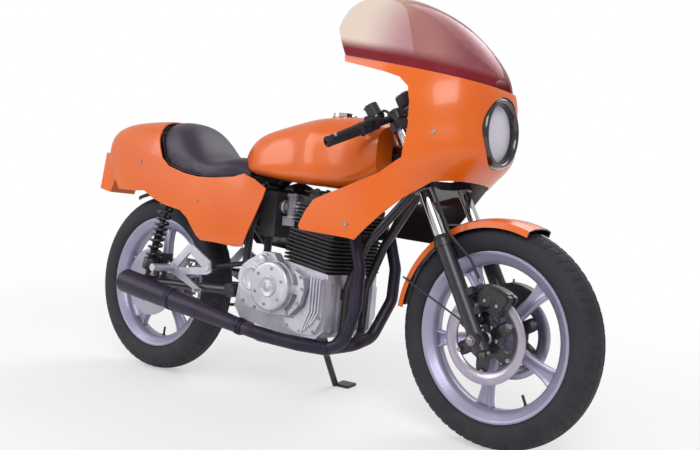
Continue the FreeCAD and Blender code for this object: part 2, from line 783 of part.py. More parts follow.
def on_head_tube(share):
    """A place on the steering axis, as a share of the way up the head tube."""
    return fork_point(-s.fork_offset, 0, head_low + share * (head_high - head_low))


spine_top = on_head_tube(0.73)
footrest_plate = float(s.arm_half) + 24
footrest_bolt = Vector(360, 0, 415)


def rail_top(x):
    """The height of the seat rails behind the seat's front."""
    return 700 + 0.105 * (250 - x)


def engine_lugs():
    """Blocks on the cradle that the crankcase is bolted to, front and rear."""
    gap, lugs = float(s.fit_gap), []
    for side in (-1, 1):
        y = side * float(s.cradle_half) - 10
        lugs.append(Part.makeBox(18, 20, 34, Vector(case_front + gap, y, 362)))
        lugs.append(Part.makeBox(36, 20, 15, Vector(case_rear + 4.6 - gap - 36, y, 330)))
    return lugs


def make_frame():
    """Head tube, spine under the tank, double cradle round the engine and seat rails."""
    head = rod("head_tube", on_head_tube(0), on_head_tube(1), s.head_tube_radius)
    bore = rod("head_bore", on_head_tube(-0.2), on_head_tube(1.2), s.stem_radius + s.running_gap)
    neck = on_head_tube(0.17)
    rail_z, tube_r = float(s.rail_height), s.frame_tube_radius
    spine = tube([spine_top, (700, 0, 790), (610, 0, 766), (538, 0, 712)], s.spine_radius, 120)
    cross = Part.makeCylinder(tube_r, 124, Vector(535, -62, 708), Vector(0, 1, 0))
    pivot_half = s.arm_half - arm_boss_half - s.fit_gap
    pivot = Part.makeCylinder(s.pivot_radius, 2 * pivot_half,
                              Vector(s.pivot_forward, -pivot_half, s.pivot_height),
                              Vector(0, 1, 0))
    tubes = [spine, cross, pivot]
    for side in (-1, 1):
        front, rear = side * float(s.cradle_half), side * float(s.rail_half)
        down = [(neck.x, side * 12, neck.z), (968, front, 545), (908, front, 400),
                (904, front, 250), (850, front, rail_z), (520, front, rail_z + 4),
                (s.pivot_forward - 8, front, s.pivot_height), (468, front, 560),
                (535, side * 62, 708)]
        tubes.append(tube(down, tube_r, 60))
        seat_rail = [(535, side * 62, 708), (440, rear, 702), (250, rear, rail_top(250)),
                     (-150, rear, rail_top(-150))]
        tubes.append(tube(seat_rail, tube_r - 3, 120))
        brace = [(466, front, 500), (330, side * 70, 610), (190, rear, 699)]
        tubes.append(tube(brace, tube_r - 4, 120))
        bolt = Vector(footrest_bolt.x, side * 108, footrest_bolt.z)
        tubes.append(tube([(468, front, 440), bolt], 9, 20))
        tubes.append(Part.makeCylinder(12, footrest_plate - float(s.fit_gap) - 100,
                                       Vector(bolt.x, side * 100, bolt.z), Vector(0, side, 0)))
        tubes.append(Part.makeCylinder(13, shock_high_side - 13.4 - 60,
                                       Vector(shock_high[0], side * 60, shock_high[1]),
                                       Vector(0, side, 0)))
    for x in (-140, 0):
        tubes.append(Part.makeCylinder(tube_r - 3, 2 * s.rail_half,
                                       Vector(x, -s.rail_half, rail_top(x)), Vector(0, 1, 0)))
    guard_top = rear_guard_inner + float(s.guard_wall) + rear_axle_at.z
    post_foot = guard_top + float(s.fit_gap)
    tubes.append(Part.makeCylinder(8, rail_top(0) - post_foot, Vector(0, 0, post_foot)))
    tubes.append(Part.makeBox(40, 40, 34.2, Vector(705, -20, 788)))
    tubes += engine_lugs()
    tubes.append(stand_bracket())
    doc.recompute()
    frame = head.Shape.fuse(tubes).cut(bore.Shape)
    node("frame", feature("frame", frame))


def make_swingarm():
    """Two round arms on a pivot tube, with slotted axle plates."""
    parts = []
    ends = (-s.arm_half, s.arm_half)
    pivot_at = Vector(s.pivot_forward, 0, s.pivot_height)
    for i, y in enumerate(ends):
        parts.append(rod("arm_%d" % i, (pivot_at.x, y, pivot_at.z), (60, y, rear_axle_at.z + 4),
                         s.arm_radius))
        parts.append(solid_box("axle_plate_%d" % i, (-32, y - 9, rear_axle_at.z - 24),
                               (66, y + 9, rear_axle_at.z + 26)))
        ring = rod("arm_boss_%d" % i, (pivot_at.x, y - arm_boss_half, pivot_at.z),
                   (pivot_at.x, y + arm_boss_half, pivot_at.z), s.pivot_radius + 2)
        parts.append(ring)
    parts.append(rod("arm_brace", (400, -s.arm_half, pivot_at.z), (400, s.arm_half, pivot_at.z),
                     15))
    whole = fuse("swingarm_solid", parts)
    holes = [rod("arm_axle_hole", (0, -160, rear_axle_at.z), (0, 160, rear_axle_at.z),
                 s.axle_radius + s.running_gap)]
    node("swingarm", cut("swingarm_cut", whole, holes[0]))


def make_rear_axle():
    """The rear axle with its spacers and nuts, held in the swingarm plates."""
    reach = s.arm_half + 9
    parts = [rod("rear_axle_bar", (0, -reach - 14, 0), (0, reach + 14, 0), s.axle_radius)]
    for i, side in enumerate((-1, 1)):
        outer = side * (reach + s.fit_gap)
        inner = side * (s.arm_half - 9 - s.fit_gap)
        parts.append(rod("rear_nut_%d" % i, (0, outer, 0), (0, outer + side * 10, 0), 15))
        parts.append(rod("rear_spacer_%d" % i, (0, inner, 0),
                         (0, side * (rear_hub_end + s.fit_gap), 0), 14))
    node("rear_axle", fuse("rear_axle_parts", parts), "rear")


def make_shocks():
    """Spring struts from the swingarm ends to the seat rails."""
    struts = []
    for name, side in (("right", -1), ("left", 1)):
        low = Vector(shock_low[0], side * shock_low_side, shock_low[1])
        high = Vector(shock_high[0], side * shock_high_side, shock_high[1])
        way = (high - low).normalize()
        length = (high - low).Length
        shape = Part.makeCylinder(11, length, low, way)
        shape = shape.fuse([
            Part.makeCylinder(27, 42, low + way * 34, way),
            Part.makeCylinder(29, 14, low + way * (length - 52), way),
            Part.makeCylinder(13, 26, low - Vector(0, 13, 0), Vector(0, 1, 0)),
            Part.makeCylinder(13, 26, high - Vector(0, 13, 0), Vector(0, 1, 0))])
        coils = 8
        room = length - 52 - 76
        for i in range(coils):
            at = low + way * (76 + room * (i + 0.5) / coils)
            shape = shape.fuse(Part.makeCylinder(25, room / coils * 0.55, at
                                                 - way * room / coils * 0.27, way))
        plate_face = float(s.arm_half + 9 + s.fit_gap)
        bolt = Part.makeCylinder(7, shock_low_side - plate_face,
                                 Vector(low.x, side * plate_face, low.z), Vector(0, side, 0))
        shape = shape.fuse(bolt)
        struts.append(shape)
    node("rear_shocks", feature("rear_shocks", Part.makeCompound(struts)))


make_frame()
make_swingarm()
make_rear_axle()
make_shocks()


# engine

deck_at = Vector(797, 0, 455)
engine_home = Placement(deck_at, Rotation(Vector(0, 1, 0), float(s.cylinder_tilt)))


def on_deck(x, z):
    """A place given along and up the tilted cylinders, seen from the side."""
    point = engine_home.multVec(Vector(x, 0, z))
    return point.x, point.z


def make_crankcase():
    """The cases: a full-width crank part and a narrower gearbox beside the chain."""
    body = new_body("crankcase")
    body.AllowCompound = False
    half_deck = s.barrel_depth / 2
    front_top, rear_top = on_deck(half_deck - 4, 0), on_deck(-half_deck, 0)
    outline = new_sketch(body, "case_outline", "XZ_Plane")
    add_polygon(outline, [(622, 246), (660, 236), (858, 236), (887, 262), (case_front, 400),
                          front_top, rear_top, (672, 470), (622, 430)])
    case = pad(body, "case", outline, 2 * s.engine_half, centred=True)
    gear = new_sketch(body, "gearbox_outline", "XZ_Plane", -(s.chain_offset - 15))
    add_polygon(gear, [(case_rear, 300), (530, 262), (625, 246), (625, 432), (600, 452), (520, 430)])
    pad(body, "gearbox", gear, s.engine_half + s.chain_offset - 15)
    groove = new_sketch(body, "case_rib_outline", "XY_Plane", 250)
    for i in range(7):
        y = -102 + 34 * i
        add_polygon(groove, [(880, y - 9), (900, y - 9), (900, y + 9), (880, y + 9)])
    ribs = pocket(body, "case_ribs", groove, 160, flipped=True)
    fillet_edges = round_edges(body, "case_round", ribs, lambda edge: abs(
        edge.Length - 2 * s.engine_half) < 1 and edge.BoundBox.ZMax < 300, 12)
    body.Tip = fillet_edges
    node("crankcase", body)


clutch_at, clutch_radius = (698, 384), 80


def crescent(first, last):
    """Corners of a curved hollow beside the clutch, between two angles round it."""
    turns = [first + (last - first) * i / 6 for i in range(7)]
    outer = [(clutch_at[0] + 104 * cos(turn), clutch_at[1] + 96 * sin(turn)) for turn in turns]
    inner = [(clutch_at[0] + (clutch_radius + 3) * cos(turn),
              clutch_at[1] + (clutch_radius + 3) * sin(turn)) for turn in turns]
    return outer + inner[::-1]


def make_covers():
    """The clutch cover on the right and the drive cover on the left."""
    right = new_body("clutch_cover")
    base_plane = s.engine_half + s.fit_gap
    outline = new_sketch(right, "clutch_cover_outline", "XZ_Plane", base_plane)
    add_polygon(outline, [(547, 389), (560, 322), (616, 303), (700, 296), (770, 300), (812, 338),
                          (826, 388), (816, 428), (770, 449), (708, 466), (690, 490), (648, 492),
                          (576, 457)])
    pad(right, "clutch_cover_base", outline, 34)
    front = new_sketch(right, "front_cover_outline", "XZ_Plane", base_plane)
    add_polygon(front, [(832, 434), (884, 426), (887, 300), (860, 250), (800, 246), (742, 262),
                        (734, 290), (774, 292), (818, 332), (832, 386)])
    pad(right, "front_cover", front, 14)
    for i in range(4):
        rib = new_sketch(right, "front_rib_outline_%d" % i, "XZ_Plane", base_plane + 10)
        x, low = 838 + 12 * i, 250 + 10 * i
        add_polygon(rib, [(x, 430 - 2 * i), (x + 5, 429 - 2 * i), (x + 5, 320), (x - 22, low),
                          (x - 28, low), (x, 322)])
        pad(right, "front_rib_%d" % i, rib, 11)
    dome = new_sketch(right, "rear_dome_outline", "XZ_Plane", base_plane + 30)
    add_circle(dome, 612, 402, 58)
    pad(right, "rear_dome", dome, s.cover_depth - 44)
    boss = new_sketch(right, "filler_boss_outline", "XZ_Plane", base_plane + 30)
    add_circle(boss, 660, 466, 21)
    pad(right, "filler_boss", boss, s.cover_depth - 44)
    drum = new_sketch(right, "clutch_drum_outline", "XZ_Plane", base_plane + 30)
    add_circle(drum, *clutch_at, clutch_radius)
    pad(right, "clutch_drum", drum, s.cover_depth - 30)
    for i, (first, last) in enumerate(((8, 66), (-52, -10))):
        hollow = new_sketch(right, "cover_hollow_%d" % i, "XZ_Plane", base_plane + 34)
        add_polygon(hollow, crescent(first, last))
        last_cut = pocket(right, "cover_recess_%d" % i, hollow, 22)
    face = float(base_plane + s.cover_depth)
    right.Tip = round_edges(right, "drum_round", last_cut, lambda edge: (
        edge.Curve.TypeId == "Part::GeomCircle" and abs(edge.Curve.Radius - clutch_radius) < 0.01
        and abs(abs(edge.Curve.Center.y) - face) < 0.01), 11)
    node("clutch_cover", right)
    left = new_body("drive_cover")
    plate = new_sketch(left, "drive_cover_outline", "XZ_Plane", -base_plane)
    add_polygon(plate, [(515, 300), (545, 268), (860, 262), (880, 300), (880, 400),
                        (850, 432), (560, 436), (515, 400)])
    pad(left, "drive_plate", plate, 22, flipped=True)
    inner = new_sketch(left, "sprocket_cover_outline", "XZ_Plane", -(s.chain_offset + 17))
    add_polygon(inner, [(515, 300), (545, 268), (616, 268), (616, 436), (560, 436),
                        (515, 400)])
    pad(left, "sprocket_cover", inner, s.engine_half - s.chain_offset - 10, flipped=True)
    dome = new_sketch(left, "generator_outline", "XZ_Plane", -(base_plane + 20))
    add_circle(dome, 790, 348, 70)
    pad(left, "generator", dome, 26, flipped=True)
    node("drive_cover", left)


def finned_block(name, height, first_fin, fins, home, extra=None):
    """A cylinder casting: a core with evenly spaced cooling fins round it."""
    body = new_body(name)
    core = new_sketch(body, name + "_core_outline", "XY_Plane")
    reach = s.fin_reach
    long_half, wide_half = s.barrel_depth / 2 - reach, s.barrel_width / 2 - reach
    add_polygon(core, [(-long_half, -wide_half), (long_half, -wide_half),
                       (long_half, wide_half), (-long_half, wide_half)])
    pad(body, name + "_core", core, height)
    fin = new_sketch(body, name + "_fin_outline", "XY_Plane", first_fin)
    far_x, far_y, corner = s.barrel_depth / 2, s.barrel_width / 2, 14
    add_polygon(fin, [(-far_x + corner, -far_y), (far_x - corner, -far_y),
                      (far_x, -far_y + corner), (far_x, far_y - corner),
                      (far_x - corner, far_y), (-far_x + corner, far_y),
                      (-far_x, far_y - corner), (-far_x, -far_y + corner)])
    blade = pad(body, name + "_fin", fin, s.fin_thickness)
    rows = body.newObject("PartDesign::LinearPattern", name + "_fins")
    rows.Originals = [blade]
    up = [part for part in body.Origin.OriginFeatures if part.Role == "Z_Axis"][0]
    rows.Direction = (up, [""])
    rows.Length = float(s.fin_pitch) * (fins - 1)
    bind(rows, "Length", s.fin_pitch * (fins - 1))
    rows.Occurrences = fins
    body.Tip = rows
    if extra:
        extra(body)
    node(name, body, "machine", home)


def add_head_details(body):
    """Cam cover, exhaust spigots at the front and intake stubs at the back."""
    cover = new_sketch(body, "cam_cover_outline", "XY_Plane", s.head_height)
    add_polygon(cover, [(-58, -118), (58, -118), (70, -100), (70, 100), (58, 118), (-58, 118),
                        (-70, 100), (-70, -100)])
    pad(body, "cam_cover", cover, 26)
    for i, side in enumerate((-1, 1)):
        port = new_sketch(body, "exhaust_port_%d" % i, "YZ_Plane", s.barrel_depth / 2 - 30)
        add_circle(port, side * s.header_spacing, 30, s.header_radius + 7)
        pad(body, "exhaust_spigot_%d" % i, port, 34)
        stub = new_sketch(body, "intake_port_%d" % i, "YZ_Plane", -s.barrel_depth / 2 - 18)
        add_circle(stub, side * 60, 52, 20)
        pad(body, "intake_stub_%d" % i, stub, 60)


def make_carburettors():
    """Two carburettors with bell mouths, float bowls and top caps."""
    shapes = []
    for side in (-1, 1):
        y = side * 60.0
        x, z = on_deck(-float(s.barrel_depth) / 2 - 17.7, float(s.barrel_height) + 52)
        start = Vector(x - 4, y, z)
        shapes.append(Part.makeCylinder(21, 88, start, Vector(-1, 0, 0)))
        body_x = x - 44
        shapes.append(Part.makeCylinder(24, 88, Vector(body_x, y, z - 44), Vector(0, 0, 1)))
        shapes.append(Part.makeCylinder(28, 8, Vector(body_x, y, z + 34), Vector(0, 0, 1)))
        shapes.append(Part.makeBox(52, 50, 30, Vector(body_x - 26, y - 25, z - 62)))
    shapes.append(Part.makeCylinder(6, 120, Vector(body_x, -60, z), Vector(0, 1, 0)))
    whole = shapes[0].fuse(shapes[1:])
    node("carburettors", feature("carburettors", whole))


def make_air_box():
    x, z = on_deck(-float(s.barrel_depth) / 2 - 17.7, float(s.barrel_height) + 52)
    front = x - 4 - 88 - s.fit_gap
    node("air_box", solid_box("air_box_block", (550, -95, 540), (front, 95, 690)))


make_crankcase()
make_covers()
finned_block("cylinder_barrels", s.barrel_height, 10, 9, engine_home)
head_home = engine_home * Placement(Vector(0, 0, float(s.barrel_height) + float(s.fit_gap)),
                                    Rotation())
finned_block("cylinder_head", s.head_height, 14, 6, head_home, add_head_details)
make_carburettors()
make_air_box()


# exhaust

def make_headers():
    """Two pipes that meet low on the right and lead back to the silencer."""
    out_x, out_z = on_deck(float(s.barrel_depth) / 2 + 4.6, float(s.barrel_height) + 30.3)
    half = float(s.header_spacing)
    lead = (out_x + 26, out_z - 5)
    right = tube([(out_x, -half, out_z), (lead[0], -half, lead[1]), (984, -half, 470),
                  (984, -half - 2, 350), (950, -104, 236), (890, -110, 208)],
                 s.header_radius, 55)
    left = tube([(out_x, half, out_z), (lead[0], half, lead[1]), (984, half, 470),
                 (984, half - 6, 370), (960, 30, 248), (950, -50, 226), (890, -110, 208)],
                s.header_radius, 55)
    mouth = Vector(*silencer_mouth)
    before = mouth - (Vector(*silencer_end) - mouth).normalize() * 34
    collector = tube([(900, -108, 210), (800, -135, 212), (724, -172, 223), tuple(before),
                      silencer_mouth], s.header_radius + 3, 60)
    collars = [Part.makeCylinder(s.header_radius + 6, 8, Vector(out_x, side * half, out_z),
                                 Vector(lead[0] - out_x, 0, lead[1] - out_z))
               for side in (-1, 1)]
    joined = right.fuse([left, collector] + collars)
    node("exhaust_headers", feature("exhaust_headers", joined))


def make_silencer():
    """A long silencer that widens to a blunt rear end with an open tailpipe."""
    body = new_body("silencer")
    sketch = new_sketch(body, "silencer_section", "XZ_Plane")
    wide, end, neck = s.silencer_radius, s.tailpipe_radius, s.header_radius + 6
    add_polygon(sketch, [(0, 0), (0, neck), (30, neck), (300, wide - 6), (520, wide),
                         (590, wide), (600, wide - 8), (600, end + 3), (612, end + 3),
                         (612, end), (548, end), (548, 0)])
    revolve(body, "silencer_turned", sketch, "H_Axis")
    start, end_at = Vector(*silencer_mouth), Vector(*silencer_end)
    node("silencer", body, "machine",
         Placement(start, Rotation(Vector(1, 0, 0), end_at - start)))


silencer_mouth = (624, -206, 243)
silencer_end = (30, -float(s.silencer_offset) - 4, 337)
make_headers()
make_silencer()


# bodywork

tank_stations = [
    # along, half width, underside, widest height, top
    (404, 24, 776, 788, 806), (424, 52, 764, 784, 832), (462, 84, 752, 782, 864),
    (520, 116, 742, 786, 892), (590, 130, 733, 792, 910), (655, 134, 726, 800, 924),
    (700, 138, 722, 806, 933), (752, 150, 718, 812, 940), (860, 152, 713, 814, 944),
    (940, 147, 719, 819, 939), (990, 131, 738, 828, 928), (1019, 110, 758, 834, 915)]


def tank_solid(grow):
    """The tank's outer form, grown all round by a clearance."""
    wires = []
    share = float(s.tank_half) / 152
    for x, half, low, widest, top in tank_stations:
        ring = superellipse(half * share + grow, low - grow, widest, top + grow, 5.0, 2.7)
        wires.append(closed_curve([Vector(x - (grow if x < 700 else -grow), y, z)
                                   for y, z in ring]))
    return Part.makeLoft(wires, True)


def make_tank():
    """The fuel tank, lofted along its length, with a tunnel for the spine."""
    solid = tank_solid(0)
    half = float(s.spine_radius) + 8
    rise = spine_top.z
    tunnel = prism_across([(380, 690), (1120, 690), (1120, rise + 44), (1060, rise + 32), (700, 822),
                           (590, 792), (380, 792)], half)
    filler = Part.makeCylinder(s.cap_radius + 3, 40, Vector(cap_x, 0, cap_z - 40),
                               Vector(0, 0, 1))
    stem_room = Part.makeCylinder(head_room, 320, fork_point(-s.fork_offset, 0, 460),
                                  fork_point(0, 0, 1) - fork_point(0, 0, 0))
    shape = solid.fuse(filler).cut([tunnel, stem_room])
    node("fuel_tank", feature("fuel_tank", shape))


cap_x, cap_z = 800.0, 948.0
head_room = 44
hinge_x, hinge_z = cap_x + float(s.cap_radius) + 6, cap_z + 6


def make_filler_cap():
    """A hinged filler lid with its hinge at the front."""
    base = cap_z + s.fit_gap
    lid = rod("lid_disc", (cap_x, 0, base), (cap_x, 0, base + s.cap_height), s.cap_radius)
    knuckle = rod("lid_knuckle", (hinge_x, -9, hinge_z), (hinge_x, 9, hinge_z), 4)
    bridge = solid_box("lid_bridge", (cap_x + s.cap_radius - 6, -9, base + 3),
                       (hinge_x, 9, base + 7))
    node("filler_cap", fuse("filler_lid", [lid, knuckle, bridge]))


cowl_stations = [
    # along, half width, underside, widest height, top
    (-318, 66, 640, 780, 886), (-290, 84, 640, 780, 902), (-240, 100, 630, 780, 920),
    (-150, 122, 620, 780, 932), (-20, 140, 560, 775, 936), (100, 149, 520, 770, 930),
    (250, 152, 480, 760, 900), (400, 152, 470, 750, 860), (520, 150, 470, 740, 840),
    (630, 147, 480, 740, 830)]
cowl_outline = [
    # side view: tail, belly line, lower edge of the side panel, front edge, seat line
    (-325, 880), (-318, 800), (-262, 742), (-185, 668), (-60, 664), (0, 666), (57, 640),
    (131, 618), (213, 604), (253, 578), (301, 521), (323, 505), (393, 503), (485, 495),
    (522, 498), (602, 667), (612, 697), (564, 724), (511, 742), (465, 730), (369, 724),
    (294, 725), (215, 737), (133, 760), (92, 790), (62, 850), (40, 945), (-325, 945)]


def lofted_cowl(inset):
    wires = []
    share = float(s.cowl_half) / 152
    for x, half, low, widest, top in cowl_stations:
        ring = superellipse(half * share - inset, low, widest, top - inset, 8.0, 3.2)
        wires.append(closed_curve([Vector(x, y, z) for y, z in ring]))
    return Part.makeLoft(wires, True)


def make_cowl():
    """Seat hump and both side panels in one open-bottomed moulding."""
    wall = float(s.shell_wall)
    outer = lofted_cowl(0)
    inner = lofted_cowl(wall).common(
        Part.makeBox(2000, 800, 2000, Vector(-318 + wall, -400, 0)))
    trimmed = outer.common(prism_across(cowl_outline, 200))
    node("seat_cowl", feature("seat_cowl", trimmed.cut(inner)))


pad_outline = [(40, 946), (62, 850), (92, 790), (133, 760), (215, 737), (294, 725),
               (369, 724), (465, 730), (511, 742)]
pad_stations = [
    # along, half width, underside, widest height, top
    (30, 118, 700, 800, 930), (60, 128, 700, 800, 938), (110, 138, 700, 790, 936),
    (160, 142, 700, 780, 918), (215, 144, 690, 765, 866), (262, 142, 690, 758, 818),
    (325, 140, 690, 752, 796), (400, 132, 690, 754, 806), (450, 118, 690, 756, 800),
    (500, 106, 690, 752, 790)]


def make_seat_pad():
    """The padded seat, set on the seat line of the cowl and up to the tank."""
    wires = []
    for x, half, low, widest, top in pad_stations:
        ring = superellipse(half, low, widest, top, 4.0, 2.6)
        wires.append(closed_curve([Vector(x, y, z) for y, z in ring]))
    solid = Part.makeLoft(wires, True)
    lift = float(s.fit_gap)
    above = [(x + (lift if z > 765 else 0), z + lift) for x, z in pad_outline]
    region = prism_across(above + [(511, 1000), (40, 1000)], 200)
    shape = solid.common(region).cut(tank_solid(2 * lift))
    node("seat_pad", feature("seat_pad", shape))


def make_tail():
    """Tail lamp housing below the hump, and its red lens."""
    outline = [tail_low, tail_high, (-318.5, 812), (-318.5, 799.3), (-264, 741.5), (-306, 655)]
    housing = prism_across(outline, 60).cut(prism_across(lamp_slab(lamp_margin, -6, 10), 52))
    node("tail_lamp_housing", feature("tail_lamp_housing", housing))
    lens = prism_across(lamp_slab(lamp_margin + float(s.fit_gap), 1, 10 - float(s.fit_gap)),
                        52 - float(s.fit_gap))
    node("tail_lamp_lens", feature("tail_lamp_lens", lens))


tail_low, tail_high, lamp_margin = (-370, 668), (-348, 812), 28


def lamp_slab(margin, near, deep):
    """A slab along the sloping rear face, between two depths."""
    low, high = Vector(tail_low[0], 0, tail_low[1]), Vector(tail_high[0], 0, tail_high[1])
    along = (high - low).normalize()
    inward = Vector(along.z, 0, -along.x)
    corners = [low + along * margin + inward * near, high - along * margin + inward * near,
               high - along * margin + inward * deep, low + along * margin + inward * deep]
    return [(corner.x, corner.z) for corner in corners]


def make_rear_mudguard():
    body, home = arc_shell("rear_guard", rear_guard_inner, s.rear_tyre_width / 2 + 6, s.guard_wall,
                           48, 64, 20)
    node("rear_mudguard", body, "rear", home)


screen_slope = 0.19
screen_nose = 1020.0


def screen_base(x):
    """The height of the seam between fairing and screen."""
    return screen_nose + screen_slope * (1375 - x)


fairing_levels = [
    # height, half width share, nose shift
    (548, 0.95, -85), (650, 0.975, -85), (744, 0.985, -78), (800, 0.995, -20),
    (896, 1.0, 0), (975, 0.99, 0), (1030, 0.93, -10), (1085, 0.885, -42), (1130, 0.86, -75)]


def fairing_ring(height, share, shift, inset):
    """A U-shaped section: flat sides that close in a rounded nose."""
    half = float(s.fairing_half) * share - inset
    start, nose = float(s.fairing_start), float(s.fairing_nose) + shift - inset
    power = 2.6
    points = []
    for i in range(17):
        turn = 90.0 - 180.0 * i / 16
        points.append(Vector(start + (nose - start) * abs(cos(turn)) ** (2 / power),
                             half * math.copysign(abs(sin(turn)) ** (2 / power), turn), height))
    curve = Part.BSplineCurve()
    curve.interpolate(points)
    back_left, back_right = Vector(820, half, height), Vector(820, -half, height)
    edges = [Part.LineSegment(back_left, points[0]).toShape(), curve.toShape(),
             Part.LineSegment(points[-1], back_right).toShape(),
             Part.LineSegment(back_right, back_left).toShape()]
    return Part.Wire(edges)


def fairing_solid(inset):
    rings = [fairing_ring(height, share, shift, inset)
             for height, share, shift in fairing_levels]
    return Part.makeLoft(rings, True)


def make_fairing():
    """The half fairing with its lower wings, open at the back and below."""
    gap = float(s.fit_gap)
    seam = [(x, screen_base(x) - gap) for x in (1460, 950)]
    outline = seam + [
        (955, 1082), (1100, 1046), (1156, 1028), (1189, 1000), (1202, 955), (1203, 890),
        (1190, 800), (1120, 752), (1013, 709), (941, 684), (897, 666), (868, 630),
        (846, 587), (850, 573), (950, 566), (1029, 561), (1055, 557), (1113, 613),
        (1191, 688), (1253, 738), (1285, 746), (1460, 770)]
    shell = fairing_solid(0).cut(fairing_solid(float(s.shell_wall)))
    shell = shell.common(prism_across(outline, 400))
    hole = Part.makeCylinder(s.lamp_radius + 1, 300, Vector(1250, 0, s.lamp_height),
                             Vector(1, 0, 0))
    shell = shell.cut(hole)
    node("fairing", feature("fairing", shell))


def make_fairing_stay():
    """The stay from the head tube to the back of the lamp and both sides of the fairing."""
    start = on_head_tube(0.54)
    end = Vector(float(s.fairing_nose - s.lamp_depth - s.fit_gap), 0, float(s.lamp_height))
    bar = Part.makeCylinder(11, (end - start).Length + 20, start, end - start)
    front = Part.makeBox(300, 60, 60, Vector(end.x, -30, end.z - 30))
    collar = Part.makeCylinder(float(s.head_tube_radius + s.fit_gap), 400,
                               fork_point(-s.fork_offset, 0, 400),
                               fork_home.Rotation.multVec(Vector(0, 0, 1)))
    cross = Part.makeCylinder(9, 2 * s.fairing_half, Vector(1235, -s.fairing_half, 884),
                              Vector(0, 1, 0))
    cross = cross.common(fairing_solid(float(s.shell_wall + s.fit_gap)))
    stay = bar.cut(front).fuse(cross).cut(collar)
    node("fairing_stay", feature("fairing_stay", stay))


screen_profile = [
    # along, top
    (905, 1316), (943, 1320), (1000, 1315), (1057, 1304), (1132, 1276), (1206, 1233),
    (1280, 1168), (1335, 1106), (1366, 1053)]


def fairing_half_width(x):
    """Half width of the fairing's upper edge at a place along it."""
    half = float(s.fairing_half) * 0.90
    start, nose = float(s.fairing_start), float(s.fairing_nose) - 14
    if x <= start:
        return half
    return half * max(0.0, 1 - ((x - start) / (nose - start)) ** 2.6) ** (1 / 2.6)


def screen_solid(inset):
    wires = []
    for x, top in screen_profile:
        half = fairing_half_width(x) - inset
        base = screen_base(x)
        points = []
        for i in range(19):
            turn = 180.0 * i / 18
            y = half * math.copysign(abs(cos(turn)) ** (2 / 2.4), cos(turn))
            z = base - 30 + (top - inset - base + 30) * sin(turn) ** (2 / 2.4)
            points.append(Vector(x, y, z))
        curve = Part.BSplineCurve()
        curve.interpolate(points)
        wires.append(Part.Wire([curve.toShape(),
                                Part.LineSegment(points[-1], points[0]).toShape()]))
    return Part.makeLoft(wires, True)


def make_screen():
    """The bubble screen, an open shell over the seam with the fairing."""
    wall = float(s.screen_wall)
    shell = screen_solid(0).cut(screen_solid(wall))
    outline = [(957, screen_base(957)), (914, 1183), (916, 1222), (922, 1254), (933, 1282),
               (950, 1302), (972, 1314), (1000, 1322), (1500, 1400), (1500, screen_base(1500))]
    node("windscreen", feature("windscreen", shell.common(prism_across(outline, 400))))


def make_lamp():
    """Headlamp rim, bowl and domed lens set in the nose."""
    nose = float(s.fairing_nose)
    rim = new_body("headlamp_rim")
    sketch = new_sketch(rim, "rim_section", "XZ_Plane")
    add_polygon(sketch, [(nose - 60, s.lamp_radius), (nose - 14, s.lamp_radius),
                         (nose - 8, s.lamp_radius - 4), (nose - 8, s.lens_radius + 2),
                         (nose - 26, s.lens_radius), (nose - 60, s.lens_radius)])
    revolve(rim, "rim_turned", sketch, "H_Axis")
    home = Placement(Vector(0, 0, s.lamp_height), Rotation())
    bowl = new_body("headlamp_bowl")
    sketch = new_sketch(bowl, "bowl_section", "XZ_Plane")
    back, edge = nose - s.lamp_depth, nose - 60 - s.fit_gap
    add_polygon(sketch, [(back, 0), (back, 30), (back + 14, s.lens_radius - 14),
                         (edge, s.lens_radius + 8), (edge, s.lens_radius - 2),
                         (back + 18, s.lens_radius - 20), (back + 5, 22), (back + 5, 0)])
    revolve(bowl, "bowl_turned", sketch, "H_Axis")
    node("headlamp_shell", fuse("lamp_shell_parts", [rim, bowl]), "machine", home)
    lens = new_body("headlamp_lens")
    sketch = new_sketch(lens, "lens_section", "XZ_Plane")
    rim_x = nose - 24
    add_polygon(sketch, [(rim_x - 3, 0), (rim_x - 3, s.lens_radius - s.fit_gap),
                         (rim_x, s.lens_radius - s.fit_gap), (rim_x + 12, 58), (rim_x + 17, 28),
                         (rim_x + 18, 0)])
    revolve(lens, "lens_turned", sketch, "H_Axis")
    node("headlamp_lens", lens, "machine", home)


def make_instruments():
    """Two round instruments on a post on the upper yoke."""
    top = s.upper_yoke_height + s.yoke_thickness + s.fit_gap
    post = solid_box("dial_post", (-2, -28, top), (20, 28, top + 40))
    plate = solid_box("dial_plate", (-20, -74, top + 36), (52, 74, top + 41))
    parts = [post, plate]
    for i, side in enumerate((-1, 1)):
        y = side * 40
        parts.append(rod("dial_%d" % i, (16, y, top + 40), (16, y, top + 92), 36))
    node("instruments", fuse("instrument_set", parts), "fork")


make_tank()
make_filler_cap()
make_cowl()
make_seat_pad()
make_tail()
make_rear_mudguard()
make_fairing()
make_fairing_stay()
make_screen()
make_lamp()
make_instruments()


# side stand, footrests and chain

def make_stand():
    """The side stand: an eye on its pin, a leg and a foot flat on the ground."""
    neck = rod("stand_neck", stand_pivot, stand_pivot + stand_down * 24, 7.5)
    leg = rod("stand_leg", stand_pivot + stand_down * 17.5,
              stand_pivot + stand_down * (stand_reach - 4), s.stand_radius)
    eye = rod("stand_eye", stand_pivot - stand_axis * 8, stand_pivot + stand_axis * 8, 15)
    foot = solid_box("stand_foot_block", (-34, -24, 0), (24, 24, 10))
    foot.Placement = Placement(stand_foot_at, Rotation(Vector(1, 0, 0), float(s.lean_angle)))
    whole = fuse("stand_solid", [neck, leg, eye, foot])
    hole = rod("stand_hole", stand_pivot - stand_axis * 40, stand_pivot + stand_axis * 40,
               stand_pin_radius + s.running_gap)
    node("side_stand", cut("stand_cut", whole, hole))


peg_at = (186, 396)


